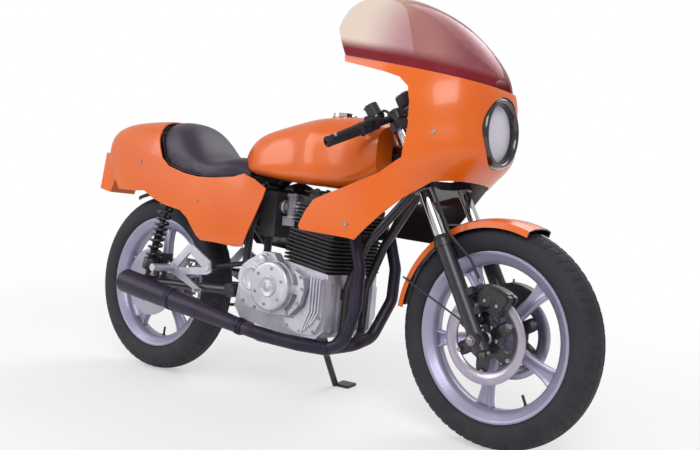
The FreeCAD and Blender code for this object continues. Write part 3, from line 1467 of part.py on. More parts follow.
def make_footrests():
    """Alloy brackets with folding pegs, a brake pedal and a gear lever."""
    sides = []
    for name, side in (("right", -1), ("left", 1)):
        body = new_body("footrest_" + name)

        def layer(label, draw, near, thickness):
            """Pads one outline outwards from a distance off the plate's inner face."""
            sketch = new_sketch(body, label + "_outline_" + name, "XZ_Plane",
                                -side * (footrest_plate + near))
            draw(sketch)
            return pad(body, label + "_" + name, sketch, thickness, flipped=side > 0)

        def bracket(sketch):
            add_polygon(sketch, [(166, 384), (170, 404), (256, 484), (284, 486), (376, 436),
                                 (384, 398), (362, 388), (190, 374)])
            add_polygon(sketch, [(212, 400), (270, 456), (340, 412)])

        layer("bracket_plate", bracket, 0, 8)
        layer("bolt_boss", lambda sketch: add_circle(sketch, footrest_bolt.x, footrest_bolt.z, 16),
              0, 12)
        layer("lever_hub", lambda sketch: add_circle(sketch, *peg_at, 19), 6, 12)
        layer("lever", lambda sketch: add_polygon(sketch, [
            (176, 384), (192, 380), (340, 322), (346, 337), (200, 408)]), 8, 8)
        layer("toe", lambda sketch: add_circle(sketch, 341, 331, 7), 14, 28)
        body.Tip = layer("peg", lambda sketch: add_circle(sketch, *peg_at, s.peg_radius), 4,
                         s.peg_length)
        sides.append(body)
    node("footrests", fuse("footrest_pair", sides))


def chain_loop():
    """Centres of the rollers along the closed chain run, in X and Z."""
    big, small = pitch_radius(s.rear_teeth), pitch_radius(s.front_teeth)
    front = Vector(float(s.front_sprocket_forward), 0, float(s.front_sprocket_height))
    rear = Vector(0, 0, float(s.rear_tyre_radius))
    line = front - rear
    distance = line.Length
    along = line.normalize()
    up = Vector(-along.z, 0, along.x)
    lean = math.asin((big - small) / distance)
    top = up * math.cos(lean) + along * math.sin(lean)
    low = up * -math.cos(lean) + along * math.sin(lean)
    return rear, front, big, small, top, low


def chain_ring(grow):
    """The outline of the chain's side plates, grown or shrunk from its pitch line."""
    rear, front, big, small, top, low = chain_loop()
    along = (front - rear).normalize()
    edges = [
        Part.LineSegment(rear + top * (big + grow), front + top * (small + grow)).toShape(),
        Part.Arc(front + top * (small + grow), front + along * (small + grow),
                 front + low * (small + grow)).toShape(),
        Part.LineSegment(front + low * (small + grow), rear + low * (big + grow)).toShape(),
        Part.Arc(rear + low * (big + grow), rear - along * (big + grow),
                 rear + top * (big + grow)).toShape()]
    return Part.Wire(edges)


def roller_places():
    """Rollers in the gaps of the rear sprocket, then one pitch apart along both runs."""
    rear, front, big, small, top, low = chain_loop()
    step = 2 * math.pi / int(s.rear_teeth)
    top_turn, low_turn = math.atan2(top.z, top.x), math.atan2(low.z, low.x) + 2 * math.pi
    first, last = math.ceil(top_turn / step), math.floor(low_turn / step)
    places = [rear + Vector(math.cos(i * step), 0, math.sin(i * step)) * big
              for i in range(first, last + 1)]
    pitch = float(s.chain_pitch)
    for side, ahead in ((top, (first * step - top_turn) * big), (low, (low_turn - last * step)
                                                                 * big)):
        start, end = rear + side * big, front + side * small
        way = (end - start).normalize()
        count = int(((end - start).Length + ahead) / pitch)
        places += [start + way * (pitch * (i + 1) - ahead) for i in range(count)]
    return places


def make_chain():
    """Two rows of side plates joined by their rollers."""
    half, gap = float(s.chain_height) / 2, float(s.chain_gap)
    middle, plate = float(s.chain_offset), float(s.chain_plate)
    band = Part.Face(chain_ring(half)).cut(Part.Face(chain_ring(-half)))
    rows = []
    for side in (-1, 1):
        row = band.extrude(Vector(0, side * plate, 0))
        row.translate(Vector(0, middle + side * gap / 2, 0))
        rows.append(row)
    rollers = []
    for place in roller_places():
        corners = [place + Vector(cos(turn), 0, sin(turn)) * float(s.roller_radius * 0.6)
                   for turn in (45, 135, 225, 315)]
        face = Part.Face(Part.makePolygon(corners + corners[:1]))
        face.translate(Vector(0, middle - gap / 2, 0))
        rollers.append(face.extrude(Vector(0, gap, 0)))
    node("chain", feature("chain", rows[0].fuse(rows[1:] + rollers)))


def make_rear_caliper():
    """The rear caliper over the top of the disc, held by the swingarm."""
    block = solid_box("rear_caliper_block", (30, -s.rear_disc_offset - 26, 388),
                      (88, -s.rear_disc_offset + 18, 440))
    room = rod("rear_caliper_slot", (0, -s.rear_disc_offset - 5, rear_axle_at.z),
               (0, -s.rear_disc_offset + 5, rear_axle_at.z), s.rear_disc_radius + 4)
    arm = solid_box("rear_caliper_arm", (40, -(s.arm_half - 9 - s.fit_gap), 349),
                    (60, -s.rear_disc_offset - 14, 400))
    solid = fuse("rear_caliper_solid", [block, arm])
    node("rear_caliper", cut("rear_caliper_cut", solid, room))


make_stand()
make_footrests()
make_chain()
make_rear_caliper()


# every piece in its place

def check_pieces():
    """Stops on any object or sub-part that did not come out right."""
    failed = [thing.Label for thing in doc.Objects
              if "Invalid" in thing.State or "Error" in thing.State]
    failed += [thing.Label for thing, frame, home in nodes
               if thing.Shape.isNull() or not thing.Shape.isValid()]
    if failed:
        raise SystemExit("these did not build: " + ", ".join(sorted(set(failed))))


def overall_box():
    box = FreeCAD.BoundBox()
    for thing, frame, home in nodes:
        box.add(thing.Shape.optimalBoundingBox(False))
    return box


doc.recompute()
check_pieces()
for thing, frame, home in nodes:
    thing.Placement = parked * frames[frame] * home
box = overall_box()
parked = Placement(Vector(-box.Center.x, -box.Center.y, -box.ZMin), Rotation()) * parked
os.makedirs("parts", exist_ok=True)
for thing, frame, home in nodes:
    thing.Placement = parked * frames[frame] * home
    thing.Shape.exportStep("parts/%s.step" % thing.Label)
print("%d pieces, %.0f x %.0f x %.0f mm" % (len(nodes), box.XLength, box.YLength, box.ZLength))
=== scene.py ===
import bmesh
import bpy
import math
import numpy as np
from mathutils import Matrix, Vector
from mathutils.bvhtree import BVHTree


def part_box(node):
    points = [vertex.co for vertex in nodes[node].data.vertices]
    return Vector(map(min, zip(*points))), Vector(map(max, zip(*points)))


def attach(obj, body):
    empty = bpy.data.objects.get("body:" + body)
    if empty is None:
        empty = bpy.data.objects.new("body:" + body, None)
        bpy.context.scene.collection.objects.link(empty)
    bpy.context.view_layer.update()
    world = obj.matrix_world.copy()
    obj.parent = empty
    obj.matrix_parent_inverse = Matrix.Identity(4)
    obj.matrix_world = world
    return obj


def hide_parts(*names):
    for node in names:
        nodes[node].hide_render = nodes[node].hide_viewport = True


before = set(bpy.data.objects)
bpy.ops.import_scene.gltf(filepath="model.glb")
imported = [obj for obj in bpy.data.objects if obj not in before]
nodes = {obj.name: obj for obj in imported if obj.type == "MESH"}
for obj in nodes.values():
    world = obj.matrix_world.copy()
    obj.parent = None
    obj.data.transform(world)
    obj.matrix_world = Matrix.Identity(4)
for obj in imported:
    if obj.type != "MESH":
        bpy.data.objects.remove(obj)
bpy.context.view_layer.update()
print("stage: frame loaded,", len(nodes), "pieces")


# where the machine stands

stance = {"lean": 8.0, "pitch": 0.0021, "rearAxleHeight": 0.3275, "wheelbase": 1.42,
          "frontAxleHeight": 0.3185, "rake": 28.0, "steer": 6.0, "steerAxisBack": 0.055}


def turnAbout(axis, degrees):
    # rotation matrix about X, Y or Z: cosines on the diagonal, sines beside them
    c, s = math.cos(math.radians(degrees)), math.sin(math.radians(degrees))
    turns = {"x": [[1, 0, 0], [0, c, -s], [0, s, c]], "y": [[c, 0, s], [0, 1, 0], [-s, 0, c]],
             "z": [[c, -s, 0], [s, c, 0], [0, 0, 1]]}
    return np.array(turns[axis], float)


machineTurn = turnAbout("y", stance["pitch"]) @ turnAbout("x", -stance["lean"])
rearAxle = np.array(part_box("rear_axle")).mean(0)
machineShift = rearAxle - machineTurn @ np.array([0, 0, stance["rearAxleHeight"]])


def inMachine(points):
    # upright machine to the parked place: turn, then shift
    return np.asarray(points, float) @ machineTurn.T + machineShift


def inFork(points):
    # fork frame, Z up the legs and origin on the axle: steer about the head axis, rake, lean
    back = np.array([stance["steerAxisBack"], 0, 0])
    steered = (np.asarray(points, float) + back) @ turnAbout("z", -stance["steer"]).T - back
    raked = steered @ turnAbout("y", -stance["rake"]).T
    return inMachine(raked + np.array([stance["wheelbase"], 0, stance["frontAxleHeight"]]))


def inRear(points):
    # rear wheel frame, origin on the axle
    return inMachine(np.asarray(points, float) + np.array([0, 0, stance["rearAxleHeight"]]))


# meshes from grids

def angles(count):
    # evenly spaced round a circle, in radians
    return np.linspace(0, 2 * np.pi, count, endpoint=False)


def gridFaces(rows, columns, closeRows=False, closeColumns=False):
    # quads between neighbours of a rows by columns grid, wrapping where it is closed
    r = np.arange(rows if closeRows else rows - 1)
    c = np.arange(columns if closeColumns else columns - 1)
    r, c = np.meshgrid(r, c, indexing="ij")
    nextR, nextC = (r + 1) % rows, (c + 1) % columns
    quads = np.stack([r * columns + c, nextR * columns + c, nextR * columns + nextC,
                      r * columns + nextC], -1)
    return quads.reshape(-1, 4)


def shellFaces(rows, columns, closed=False):
    # a grid rolled into a tube; flat ends unless its rows close as well
    faces = gridFaces(rows, columns, closeRows=closed, closeColumns=True)[:, ::-1].tolist()
    if not closed:
        last = (rows - 1) * columns
        faces += [list(range(columns))[::-1], list(range(last, last + columns))]
    return faces


def linked(name, data):
    # a new object in the scene
    thing = bpy.data.objects.new(name, data)
    bpy.context.scene.collection.objects.link(thing)
    return thing


def buildPiece(name, vertices, faces, body, material, smooth=True):
    mesh = bpy.data.meshes.new(name)
    mesh.from_pydata(np.asarray(vertices, float).tolist(), [], [list(map(int, f)) for f in faces])
    mesh.validate()
    mesh.polygons.foreach_set("use_smooth", [smooth] * len(mesh.polygons))
    piece = linked(name, mesh)
    mesh.materials.append(material)
    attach(piece, body)
    return piece


# mesh helpers; sizes are in millimetres until a piece is put in its place

def onMachine(points):
    return inMachine(np.asarray(points, float) / 1000.0)


def onFork(points):
    return inFork(np.asarray(points, float) / 1000.0)


def onRear(points):
    return inRear(np.asarray(points, float) / 1000.0)


def turned(profile, steps=24, closed=False):
    # (along, radius) rows turned about X: (along, radius cos t, radius sin t); flat caps unless closed
    along, radius = np.asarray(profile, float).T
    t = angles(steps)
    grid = np.stack([along[:, None] + 0 * t, radius[:, None] * np.cos(t), radius[:, None] * np.sin(t)], -1)
    return grid.reshape(-1, 3), shellFaces(len(along), steps, closed)


def placed(part, start, way, up=(0, 0, 1)):
    # local X goes along the way, Z as near to up as it can: start + x way + y side + z top
    way = np.asarray(way, float) / np.linalg.norm(way)
    up = np.asarray(up, float)
    if abs(way @ up) > 0.98 * np.linalg.norm(up):
        up = np.array([1.0, 0, 0])
    side = np.cross(up, way)
    side /= np.linalg.norm(side)
    points, faces = part
    return points @ np.array([way, side, np.cross(way, side)]) + np.asarray(start, float), faces


def lathe(profile, steps, start, way, closed=False):
    # a turned part set in its place along its way
    return placed(turned(profile, steps, closed), start, way)


def tubeAlong(path, radius, sides=10, closed=False):
    # rings round the path: place + radius (cos t normal + sin t binormal), frames carried along it
    path = np.asarray(path, float)
    ahead = np.roll(path, -1, 0) - np.roll(path, 1, 0)
    if not closed:
        ahead[0], ahead[-1] = path[1] - path[0], path[-1] - path[-2]
    ahead /= np.linalg.norm(ahead, axis=1)[:, None]
    normal = np.cross(ahead[0], (0.3, 0.2, 0.93))
    normals = []
    for way in ahead:
        normal = normal - way * (normal @ way)
        normal = normal / np.linalg.norm(normal)
        normals.append(normal)
    normals = np.array(normals)
    other = np.cross(ahead, normals)
    t = angles(sides)[None, :, None]
    radius = np.broadcast_to(np.asarray(radius, float), len(path))[:, None, None]
    grid = path[:, None] + radius * (np.cos(t) * normals[:, None] + np.sin(t) * other[:, None])
    return grid.reshape(-1, 3), shellFaces(len(path), sides, closed)


def smoothPath(points, span=8):
    # Catmull-Rom cubics through the points
    p = np.asarray(points, float)
    p = np.vstack([2 * p[0] - p[1], p, 2 * p[-1] - p[-2]])
    t = np.linspace(0, 1, span, endpoint=False)[:, None]
    runs = []
    for a, b, c, d in zip(p, p[1:], p[2:], p[3:]):
        square, cube = 2 * a - 5 * b + 4 * c - d, 3 * b - a - 3 * c + d
        runs.append(0.5 * (2 * b + (c - a) * t + square * t ** 2 + cube * t ** 3))
    return np.vstack(runs + [p[-2:-1]])


def slab(outline, low, high):
    # an (x, z) outline made solid between two places across the machine
    outline = np.asarray(outline, float)
    count = len(outline)
    rows = [np.insert(outline, 1, y, axis=1) for y in (low, high)]
    faces = gridFaces(2, count, closeColumns=True).tolist()
    return np.vstack(rows), faces + [list(range(count)), list(range(2 * count - 1, count - 1, -1))]


def joined(parts):
    # stacked parts, each with its face numbers moved up by the points before it
    points, faces, before = [], [], 0
    for more, quads in parts:
        points.append(more)
        faces += [[before + int(i) for i in face] for face in quads]
        before += len(more)
    return np.vstack(points), faces


def screw(place, way, radius, height):
    # cap screw: a chamfered head with a round socket
    profile = [(-1.0, radius), (0.75 * height, radius), (height, 0.86 * radius), (height, 0.5 * radius),
               (0.45 * height, 0.46 * radius)]
    return lathe(profile, 12, place, way)


def hexNut(place, way, radius, height):
    # six flats, with the corners taken off on top
    return lathe([(-1.0, radius), (0.8 * height, radius), (height, 0.85 * radius)], 6, place, way)


def addPiece(name, part, frameOf, body, finish, smooth=True):
    points, faces = part
    return buildPiece(name, frameOf(points), faces, body, finishes[finish], smooth)


# shared effects

def newGroup(name, inputs, outputs):
    group = bpy.data.node_groups.new(name, "ShaderNodeTree")
    for label, kind, value in inputs:
        socket = group.interface.new_socket(label, in_out="INPUT", socket_type="NodeSocket" + kind)
        if value is not None:
            socket.default_value = value
    for label, kind in outputs:
        group.interface.new_socket(label, in_out="OUTPUT", socket_type="NodeSocket" + kind)
    return group, group.nodes.new("NodeGroupInput"), group.nodes.new("NodeGroupOutput")


def mathNode(tree, operation, a, b=0.0, clamp=False):
    node = tree.nodes.new("ShaderNodeMath")
    node.operation, node.use_clamp = operation, clamp
    for socket, value in zip(node.inputs, (a, b)):
        if isinstance(value, bpy.types.NodeSocket):
            tree.links.new(value, socket)
        else:
            socket.default_value = value
    return node.outputs[0]


def mixColor(tree, factor, a, b):
    node = tree.nodes.new("ShaderNodeMix")
    node.data_type = "RGBA"
    for socket, value in zip((node.inputs[0], node.inputs[6], node.inputs[7]), (factor, a, b)):
        if isinstance(value, bpy.types.NodeSocket):
            tree.links.new(value, socket)
        else:
            socket.default_value = value
    return node.outputs[2]


def noiseNode(tree, vector, scale, detail=4.0, roughness=0.55):
    node = tree.nodes.new("ShaderNodeTexNoise")
    node.inputs["Detail"].default_value, node.inputs["Roughness"].default_value = detail, roughness
    tree.links.new(vector, node.inputs["Vector"])
    if isinstance(scale, bpy.types.NodeSocket):
        tree.links.new(scale, node.inputs["Scale"])
    else:
        node.inputs["Scale"].default_value = scale
    return node.outputs["Fac"]


def rangeNode(tree, value, low, high, toLow=0.0, toHigh=1.0):
    node = tree.nodes.new("ShaderNodeMapRange")
    node.interpolation_type = "SMOOTHSTEP"
    tree.links.new(value, node.inputs["Value"])
    for label, number in zip(("From Min", "From Max", "To Min", "To Max"), (low, high, toLow, toHigh)):
        node.inputs[label].default_value = number
    return node.outputs[0]


def makeSurfaceWear():
    # mottled colour, road dust low down, scuffs that dull the gloss, and a fine grain height
    group, source, sink = newGroup(
        "surfaceWear",
        [("Vector", "Vector", None), ("Color", "Color", (1, 1, 1, 1)), ("Shade", "Color", (0, 0, 0, 1)),
         ("Mottle Scale", "Float", 8.0), ("Mottle", "Float", 0.5), ("Grain Scale", "Float", 400.0),
         ("Roughness", "Float", 0.4), ("Spread", "Float", 0.1), ("Dust", "Float", 0.2)],
        [("Color", "Color"), ("Roughness", "Float"), ("Height", "Float")])
    vector = source.outputs["Vector"]
    mottle = rangeNode(group, noiseNode(group, vector, source.outputs["Mottle Scale"]), 0.38, 0.68)
    color = mixColor(group, mathNode(group, "MULTIPLY", mottle, source.outputs["Mottle"]),
                     source.outputs["Color"], source.outputs["Shade"])
    split = group.nodes.new("ShaderNodeSeparateXYZ")
    group.links.new(vector, split.inputs[0])
    low = rangeNode(group, split.outputs[2], 0.05, 0.75, 1.0, 0.0)
    patches = rangeNode(group, noiseNode(group, vector, 14.0, 6.0, 0.65), 0.35, 0.75)
    dust = mathNode(group, "MULTIPLY", mathNode(group, "MULTIPLY", low, patches), source.outputs["Dust"])
    group.links.new(mixColor(group, dust, color, (0.30, 0.25, 0.21, 1)), sink.inputs["Color"])
    scuff = mathNode(group, "SUBTRACT", noiseNode(group, vector, 55.0, 6.0, 0.7), 0.5)
    rough = mathNode(group, "ADD", source.outputs["Roughness"],
                     mathNode(group, "MULTIPLY", scuff, source.outputs["Spread"]))
    rough = mathNode(group, "ADD", rough, mathNode(group, "MULTIPLY", dust, 0.45), clamp=True)
    group.links.new(rough, sink.inputs["Roughness"])
    group.links.new(noiseNode(group, vector, source.outputs["Grain Scale"], 2.0), sink.inputs["Height"])
    return group


def makeCastSkin():
    # the pebbled skin of sand or die cast metal: cells over noise
    group, source, sink = newGroup("castSkin", [("Vector", "Vector", None), ("Scale", "Float", 500.0)],
                                   [("Height", "Float")])
    cells = group.nodes.new("ShaderNodeTexVoronoi")
    cells.feature = "SMOOTH_F1"
    group.links.new(source.outputs["Vector"], cells.inputs["Vector"])
    group.links.new(source.outputs["Scale"], cells.inputs["Scale"])
    fine = noiseNode(group, source.outputs["Vector"], source.outputs["Scale"], 3.0)
    group.links.new(mathNode(group, "MULTIPLY", mathNode(group, "ADD", cells.outputs["Distance"], fine), 0.5),
                    sink.inputs["Height"])
    return group


def makeInsideMask():
    # 1 where a surface faces back towards a centre, 0 where it faces away from it; it places painted shade on
    # inside faces
    group, source, sink = newGroup(
        "insideMask",
        [("Vector", "Vector", None), ("Normal", "Vector", None), ("Centre", "Vector", (0, 0, 0)),
         ("Weight", "Vector", (1, 1, 1))],
        [("Mask", "Float")])
    values = source.outputs["Vector"]
    for operation, label in (("SUBTRACT", "Centre"), ("MULTIPLY", "Weight"), ("DOT_PRODUCT", "Normal")):
        step = group.nodes.new("ShaderNodeVectorMath")
        step.operation = operation
        group.links.new(values, step.inputs[0])
        group.links.new(source.outputs[label], step.inputs[1])
        values = step.outputs["Value" if operation == "DOT_PRODUCT" else "Vector"]
    group.links.new(mathNode(group, "LESS_THAN", values, 0.0), sink.inputs["Mask"])
    return group


surfaceWear, castSkin, insideMask = makeSurfaceWear(), makeCastSkin(), makeInsideMask()


# finishes

def tone(red, green, blue):
    # display colour, 0 to 255, to the linear value that a shader takes
    c = np.array([red, green, blue]) / 255.0
    linear = np.where(c <= 0.04045, c / 12.92, ((c + 0.055) / 1.055) ** 2.4)
    return (*[float(v) for v in linear], 1.0)


looks = {
    "orangePaint": {"color": (220, 98, 4), "shade": (211, 86, 2), "mottleScale": 3.0, "rough": 0.30,
                    "spread": 0.10, "dust": 0.03, "coat": 0.28, "grain": 900.0, "bump": 0.015},
    "satinBlack": {"color": (34, 30, 38), "shade": (24, 21, 27), "mottleScale": 9.0, "rough": 0.38,
                   "spread": 0.22, "dust": 0.10, "coat": 0.25, "grain": 700.0, "bump": 0.05},
    "exhaustBlack": {"color": (33, 25, 50), "shade": (22, 17, 34), "mottleScale": 7.0, "rough": 0.42,
                     "spread": 0.25, "dust": 0.08, "metal": 0.35, "grain": 900.0, "bump": 0.05},
    "wheelSilver": {"color": (164, 162, 186), "shade": (142, 139, 166), "mottleScale": 6.0, "rough": 0.38,
                    "spread": 0.16, "dust": 0.08, "metal": 0.55, "coat": 0.2, "grain": 800.0, "bump": 0.04},
    "castAlloy": {"color": (206, 204, 213), "shade": (168, 164, 180), "mottleScale": 11.0, "rough": 0.42,
                  "spread": 0.22, "dust": 0.10, "metal": 0.75, "cast": 700.0, "bump": 0.18},
    "darkCast": {"color": (62, 58, 64), "shade": (38, 35, 40), "mottleScale": 12.0, "rough": 0.6,
                 "spread": 0.2, "dust": 0.3, "metal": 0.3, "cast": 600.0, "bump": 0.25},
    "carburettorAlloy": {"color": (132, 128, 138), "shade": (92, 88, 98), "mottleScale": 14.0, "rough": 0.45,
                         "spread": 0.2, "dust": 0.2, "metal": 0.7, "cast": 800.0, "bump": 0.2},
    "steel": {"color": (168, 165, 170), "shade": (130, 126, 132), "mottleScale": 15.0, "rough": 0.34,
              "spread": 0.25, "dust": 0.25, "metal": 1.0, "grain": 900.0, "bump": 0.06},
    "chromePlate": {"color": (228, 228, 232), "shade": (214, 214, 220), "mottleScale": 6.0, "rough": 0.08,
                    "spread": 0.10, "dust": 0.12, "metal": 1.0, "grain": 900.0, "bump": 0.01},
    "tyreRubber": {"color": (30, 29, 38), "shade": (21, 20, 28), "mottleScale": 10.0, "rough": 0.70,
                   "spread": 0.18, "dust": 0.05, "grain": 1200.0, "bump": 0.10},
    "softRubber": {"color": (30, 28, 32), "shade": (22, 21, 24), "mottleScale": 18.0, "rough": 0.68,
                   "spread": 0.15, "dust": 0.20, "grain": 1400.0, "bump": 0.12},
    "blackPlastic": {"color": (36, 34, 38), "shade": (28, 26, 30), "mottleScale": 12.0, "rough": 0.55,
                     "spread": 0.15, "dust": 0.25, "cast": 1300.0, "bump": 0.12},
    "seatVinyl": {"color": (38, 22, 48), "shade": (26, 15, 34), "mottleScale": 6.0, "rough": 0.46,
                  "spread": 0.16, "dust": 0.05, "cast": 420.0, "bump": 0.22, "sheen": 0.12},
    "weltVinyl": {"color": (34, 24, 34), "shade": (24, 17, 24), "mottleScale": 9.0, "rough": 0.45,
                  "spread": 0.12, "dust": 0.05, "cast": 420.0, "bump": 0.15},
    "springBlack": {"color": (30, 27, 33), "shade": (22, 20, 25), "mottleScale": 12.0, "rough": 0.32,
                    "spread": 0.14, "dust": 0.15, "coat": 0.5, "grain": 700.0, "bump": 0.03},
    "lampBlack": {"color": (20, 18, 22), "shade": (14, 13, 16), "mottleScale": 7.0, "rough": 0.14,
                  "spread": 0.06, "dust": 0.0, "coat": 1.0, "grain": 900.0, "bump": 0.01},
    "discSteel": {"color": (188, 182, 198), "shade": (160, 154, 172), "mottleScale": 9.0, "rough": 0.32,
                  "spread": 0.2, "dust": 0.05, "metal": 1.0, "grain": 1500.0, "bump": 0.08},
    "dialFace": {"color": (24, 23, 26), "shade": (18, 17, 19), "mottleScale": 20.0, "rough": 0.5,
                 "spread": 0.05, "dust": 0.0, "grain": 900.0, "bump": 0.02},
    "dialMark": {"color": (226, 224, 214), "shade": (214, 212, 202), "mottleScale": 30.0, "rough": 0.55,
                 "spread": 0.05, "dust": 0.0, "grain": 900.0, "bump": 0.02},
    "needleRed": {"color": (196, 36, 22), "shade": (180, 28, 18), "mottleScale": 30.0, "rough": 0.45,
                  "spread": 0.05, "dust": 0.0, "grain": 900.0, "bump": 0.02},
}


lookDefaults = {"mottle": 0.6, "grain": 800.0, "metal": 0.0, "coat": 0.0, "coatRough": 0.06, "sheen": 0.0,
                "bumpDepth": 0.002}


def newMaterial(name):
    # the material, its tree, its shader and the place on the piece
    material = bpy.data.materials.new(name)
    material.use_nodes = True
    tree = material.node_tree
    where = tree.nodes.new("ShaderNodeTexCoord").outputs["Object"]
    return material, tree, tree.nodes["Principled BSDF"], where


def effectNode(tree, effect, where):
    # one of the shared effects, given the place on the piece
    node = tree.nodes.new("ShaderNodeGroup")
    node.node_tree = effect
    tree.links.new(where, node.inputs["Vector"])
    return node


def finishMaterial(name, look):
    # colour, gloss and bump from the shared effects, with the look's own numbers
    look = {**lookDefaults, **look}
    material, tree, shader, where = newMaterial(name)
    wear = effectNode(tree, surfaceWear, where)
    values = {"Color": tone(*look["color"]), "Shade": tone(*look["shade"]),
              "Mottle Scale": look["mottleScale"], "Mottle": look["mottle"],
              "Grain Scale": look["grain"], "Roughness": look["rough"],
              "Spread": look["spread"], "Dust": look["dust"]}
    for label, value in values.items():
        wear.inputs[label].default_value = value
    color = wear.outputs["Color"]
    # painted shade: faces that look back at the look's centre take a dark colour in place of the paint
    if "inside" in look:
        mask = effectNode(tree, insideMask, where)
        tree.links.new(where.node.outputs["Normal"], mask.inputs["Normal"])
        mask.inputs["Centre"].default_value, mask.inputs["Weight"].default_value = look["inside"]
        color = mixColor(tree, mask.outputs["Mask"], color, tone(*look["paintedShadeColor"]))
    tree.links.new(color, shader.inputs["Base Color"])
    tree.links.new(wear.outputs["Roughness"], shader.inputs["Roughness"])
    shader.inputs["Metallic"].default_value = look["metal"]
    shader.inputs["Coat Weight"].default_value = look["coat"]
    shader.inputs["Coat Roughness"].default_value = look["coatRough"]
    shader.inputs["Sheen Weight"].default_value = look["sheen"]
    height = wear.outputs["Height"]
    if "cast" in look:
        skin = effectNode(tree, castSkin, where)
        skin.inputs["Scale"].default_value = look["cast"]
        height = skin.outputs["Height"]
    bump = tree.nodes.new("ShaderNodeBump")
    bump.inputs["Strength"].default_value = look["bump"]
    bump.inputs["Distance"].default_value = look["bumpDepth"]
    tree.links.new(height, bump.inputs["Height"])
    tree.links.new(bump.outputs["Normal"], shader.inputs["Normal"])
    return material


def withPaintedShadeInside(centre, weight):
    # orange paint outside, and a dark painted shade on the faces that look back at a centre, where the inside
    # of the shell lies in shade
    centre = [float(v) for v in centre]
    return {**looks["orangePaint"], "inside": (centre, weight), "paintedShadeColor": (38, 30, 34)}


# painted shade on the inside faces of the fairing, the front mudguard and the seat cowl
looks["fairingPaint"] = withPaintedShadeInside(inMachine((1.04, 0, 0.8)), (1.0, 1.0, 0.08))
looks["guardPaint"] = withPaintedShadeInside(inFork((0, 0, 0)), (1.0, 1.0, 1.0))
looks["cowlPaint"] = withPaintedShadeInside(inMachine((0.25, 0, 0.74)), (0.02, 1.0, 1.0))
finishes = {name: finishMaterial(name, look) for name, look in looks.items()}


def clearMaterial(name, color, rough, ior, clear=1.0):
    # clear, tinted or frosted pane with faint wipe marks in its gloss
    material, tree, shader, where = newMaterial(name)
    haze = rangeNode(tree, noiseNode(tree, where, 9.0, 6.0, 0.6), 0.35, 0.8, rough, rough + 0.06)
    tree.links.new(haze, shader.inputs["Roughness"])
    tint = mixColor(tree, rangeNode(tree, noiseNode(tree, where, 5.0), 0.4, 0.7), tone(*color),
                    tone(*[c - 5 for c in color]))
    tree.links.new(tint, shader.inputs["Base Color"])
    shader.inputs["Transmission Weight"].default_value = clear
    shader.inputs["IOR"].default_value = ior
    return material


finishes["lampGlass"] = clearMaterial("lampGlass", (236, 233, 242), 0.22, 1.2, 0.45)
finishes["dialGlass"] = clearMaterial("dialGlass", (240, 242, 246), 0.03, 1.3)
finishes["redLens"] = finishMaterial("redLens", {
    "color": (150, 14, 18), "shade": (120, 8, 12), "mottleScale": 9.0, "rough": 0.15, "spread": 0.08,
    "dust": 0.1, "coat": 1.0, "cast": 260.0, "bump": 0.35})
print("stage: finishes made")

nodeFinishes = {
    "orangePaint": ["fuel_tank", "tail_lamp_housing"],
    "guardPaint": ["front_mudguard"],
    "fairingPaint": ["fairing"],
    "cowlPaint": ["seat_cowl"],
    "satinBlack": ["fork_sliders", "yokes_and_stem", "clip_on_bars", "fork_brace", "frame",
                   "swingarm", "side_stand", "rear_caliper", "fairing_stay"],
    "exhaustBlack": ["exhaust_headers", "silencer"],
    "castAlloy": ["crankcase", "clutch_cover", "drive_cover", "footrests"],
    "carburettorAlloy": ["carburettors"],
    "darkCast": ["cylinder_barrels", "cylinder_head"],
    "steel": ["rear_sprocket", "front_axle", "rear_axle"],
    "discSteel": ["rear_disc"],
    "chromePlate": ["fork_stanchions", "filler_cap"],
    "blackPlastic": ["bar_controls", "air_box", "rear_mudguard"],
    "redLens": ["tail_lamp_lens"],
}
for finish, names in nodeFinishes.items():
    for name in names:
        data = nodes[name].data
        data.materials.clear()
        data.materials.append(finishes[finish])
print("stage: carried pieces finished")


# tyres

tyreShape = {"flange": 243.5, "bead": 229.0, "power": 2.25, "around": 1080, "grooveDepth": 3.2,
             "grooveWidth": 0.035, "slotShare": 0.15, "slotSlant": 1.1,
             "front": {"radius": 318.5, "width": 102.0, "rim": 76.0, "slots": 66},
             "rear": {"radius": 327.5, "width": 112.0, "rim": 86.0, "slots": 60}}


def tyreSection(size):
    # bead, quarter ellipse out to the widest place, superellipse over the crown, then mirrored
    bead, side, top = size["rim"] / 2 - 5, size["width"] / 2, size["radius"]
    widest = tyreShape["flange"] + 0.42 * (top - tyreShape["flange"])
    t = np.linspace(0, np.pi / 2, 7)[:-1]
    wall = np.stack([bead + (side - bead) * np.sin(t),
                     tyreShape["flange"] + (widest - tyreShape["flange"]) * (1 - np.cos(t))], -1)
    across = np.concatenate([np.cos(np.linspace(0, 1.2, 12)), np.linspace(0.31, 0.21, 6), [0.16, 0.08, 0]])
    power = tyreShape["power"]
    crown = np.stack([side * across, widest + (top - widest) * (1 - across ** power) ** (1 / power)], -1)
    half = np.vstack([[[bead, tyreShape["bead"]]], wall, crown])
    return np.vstack([half * (-1, 1), half[-2::-1]])


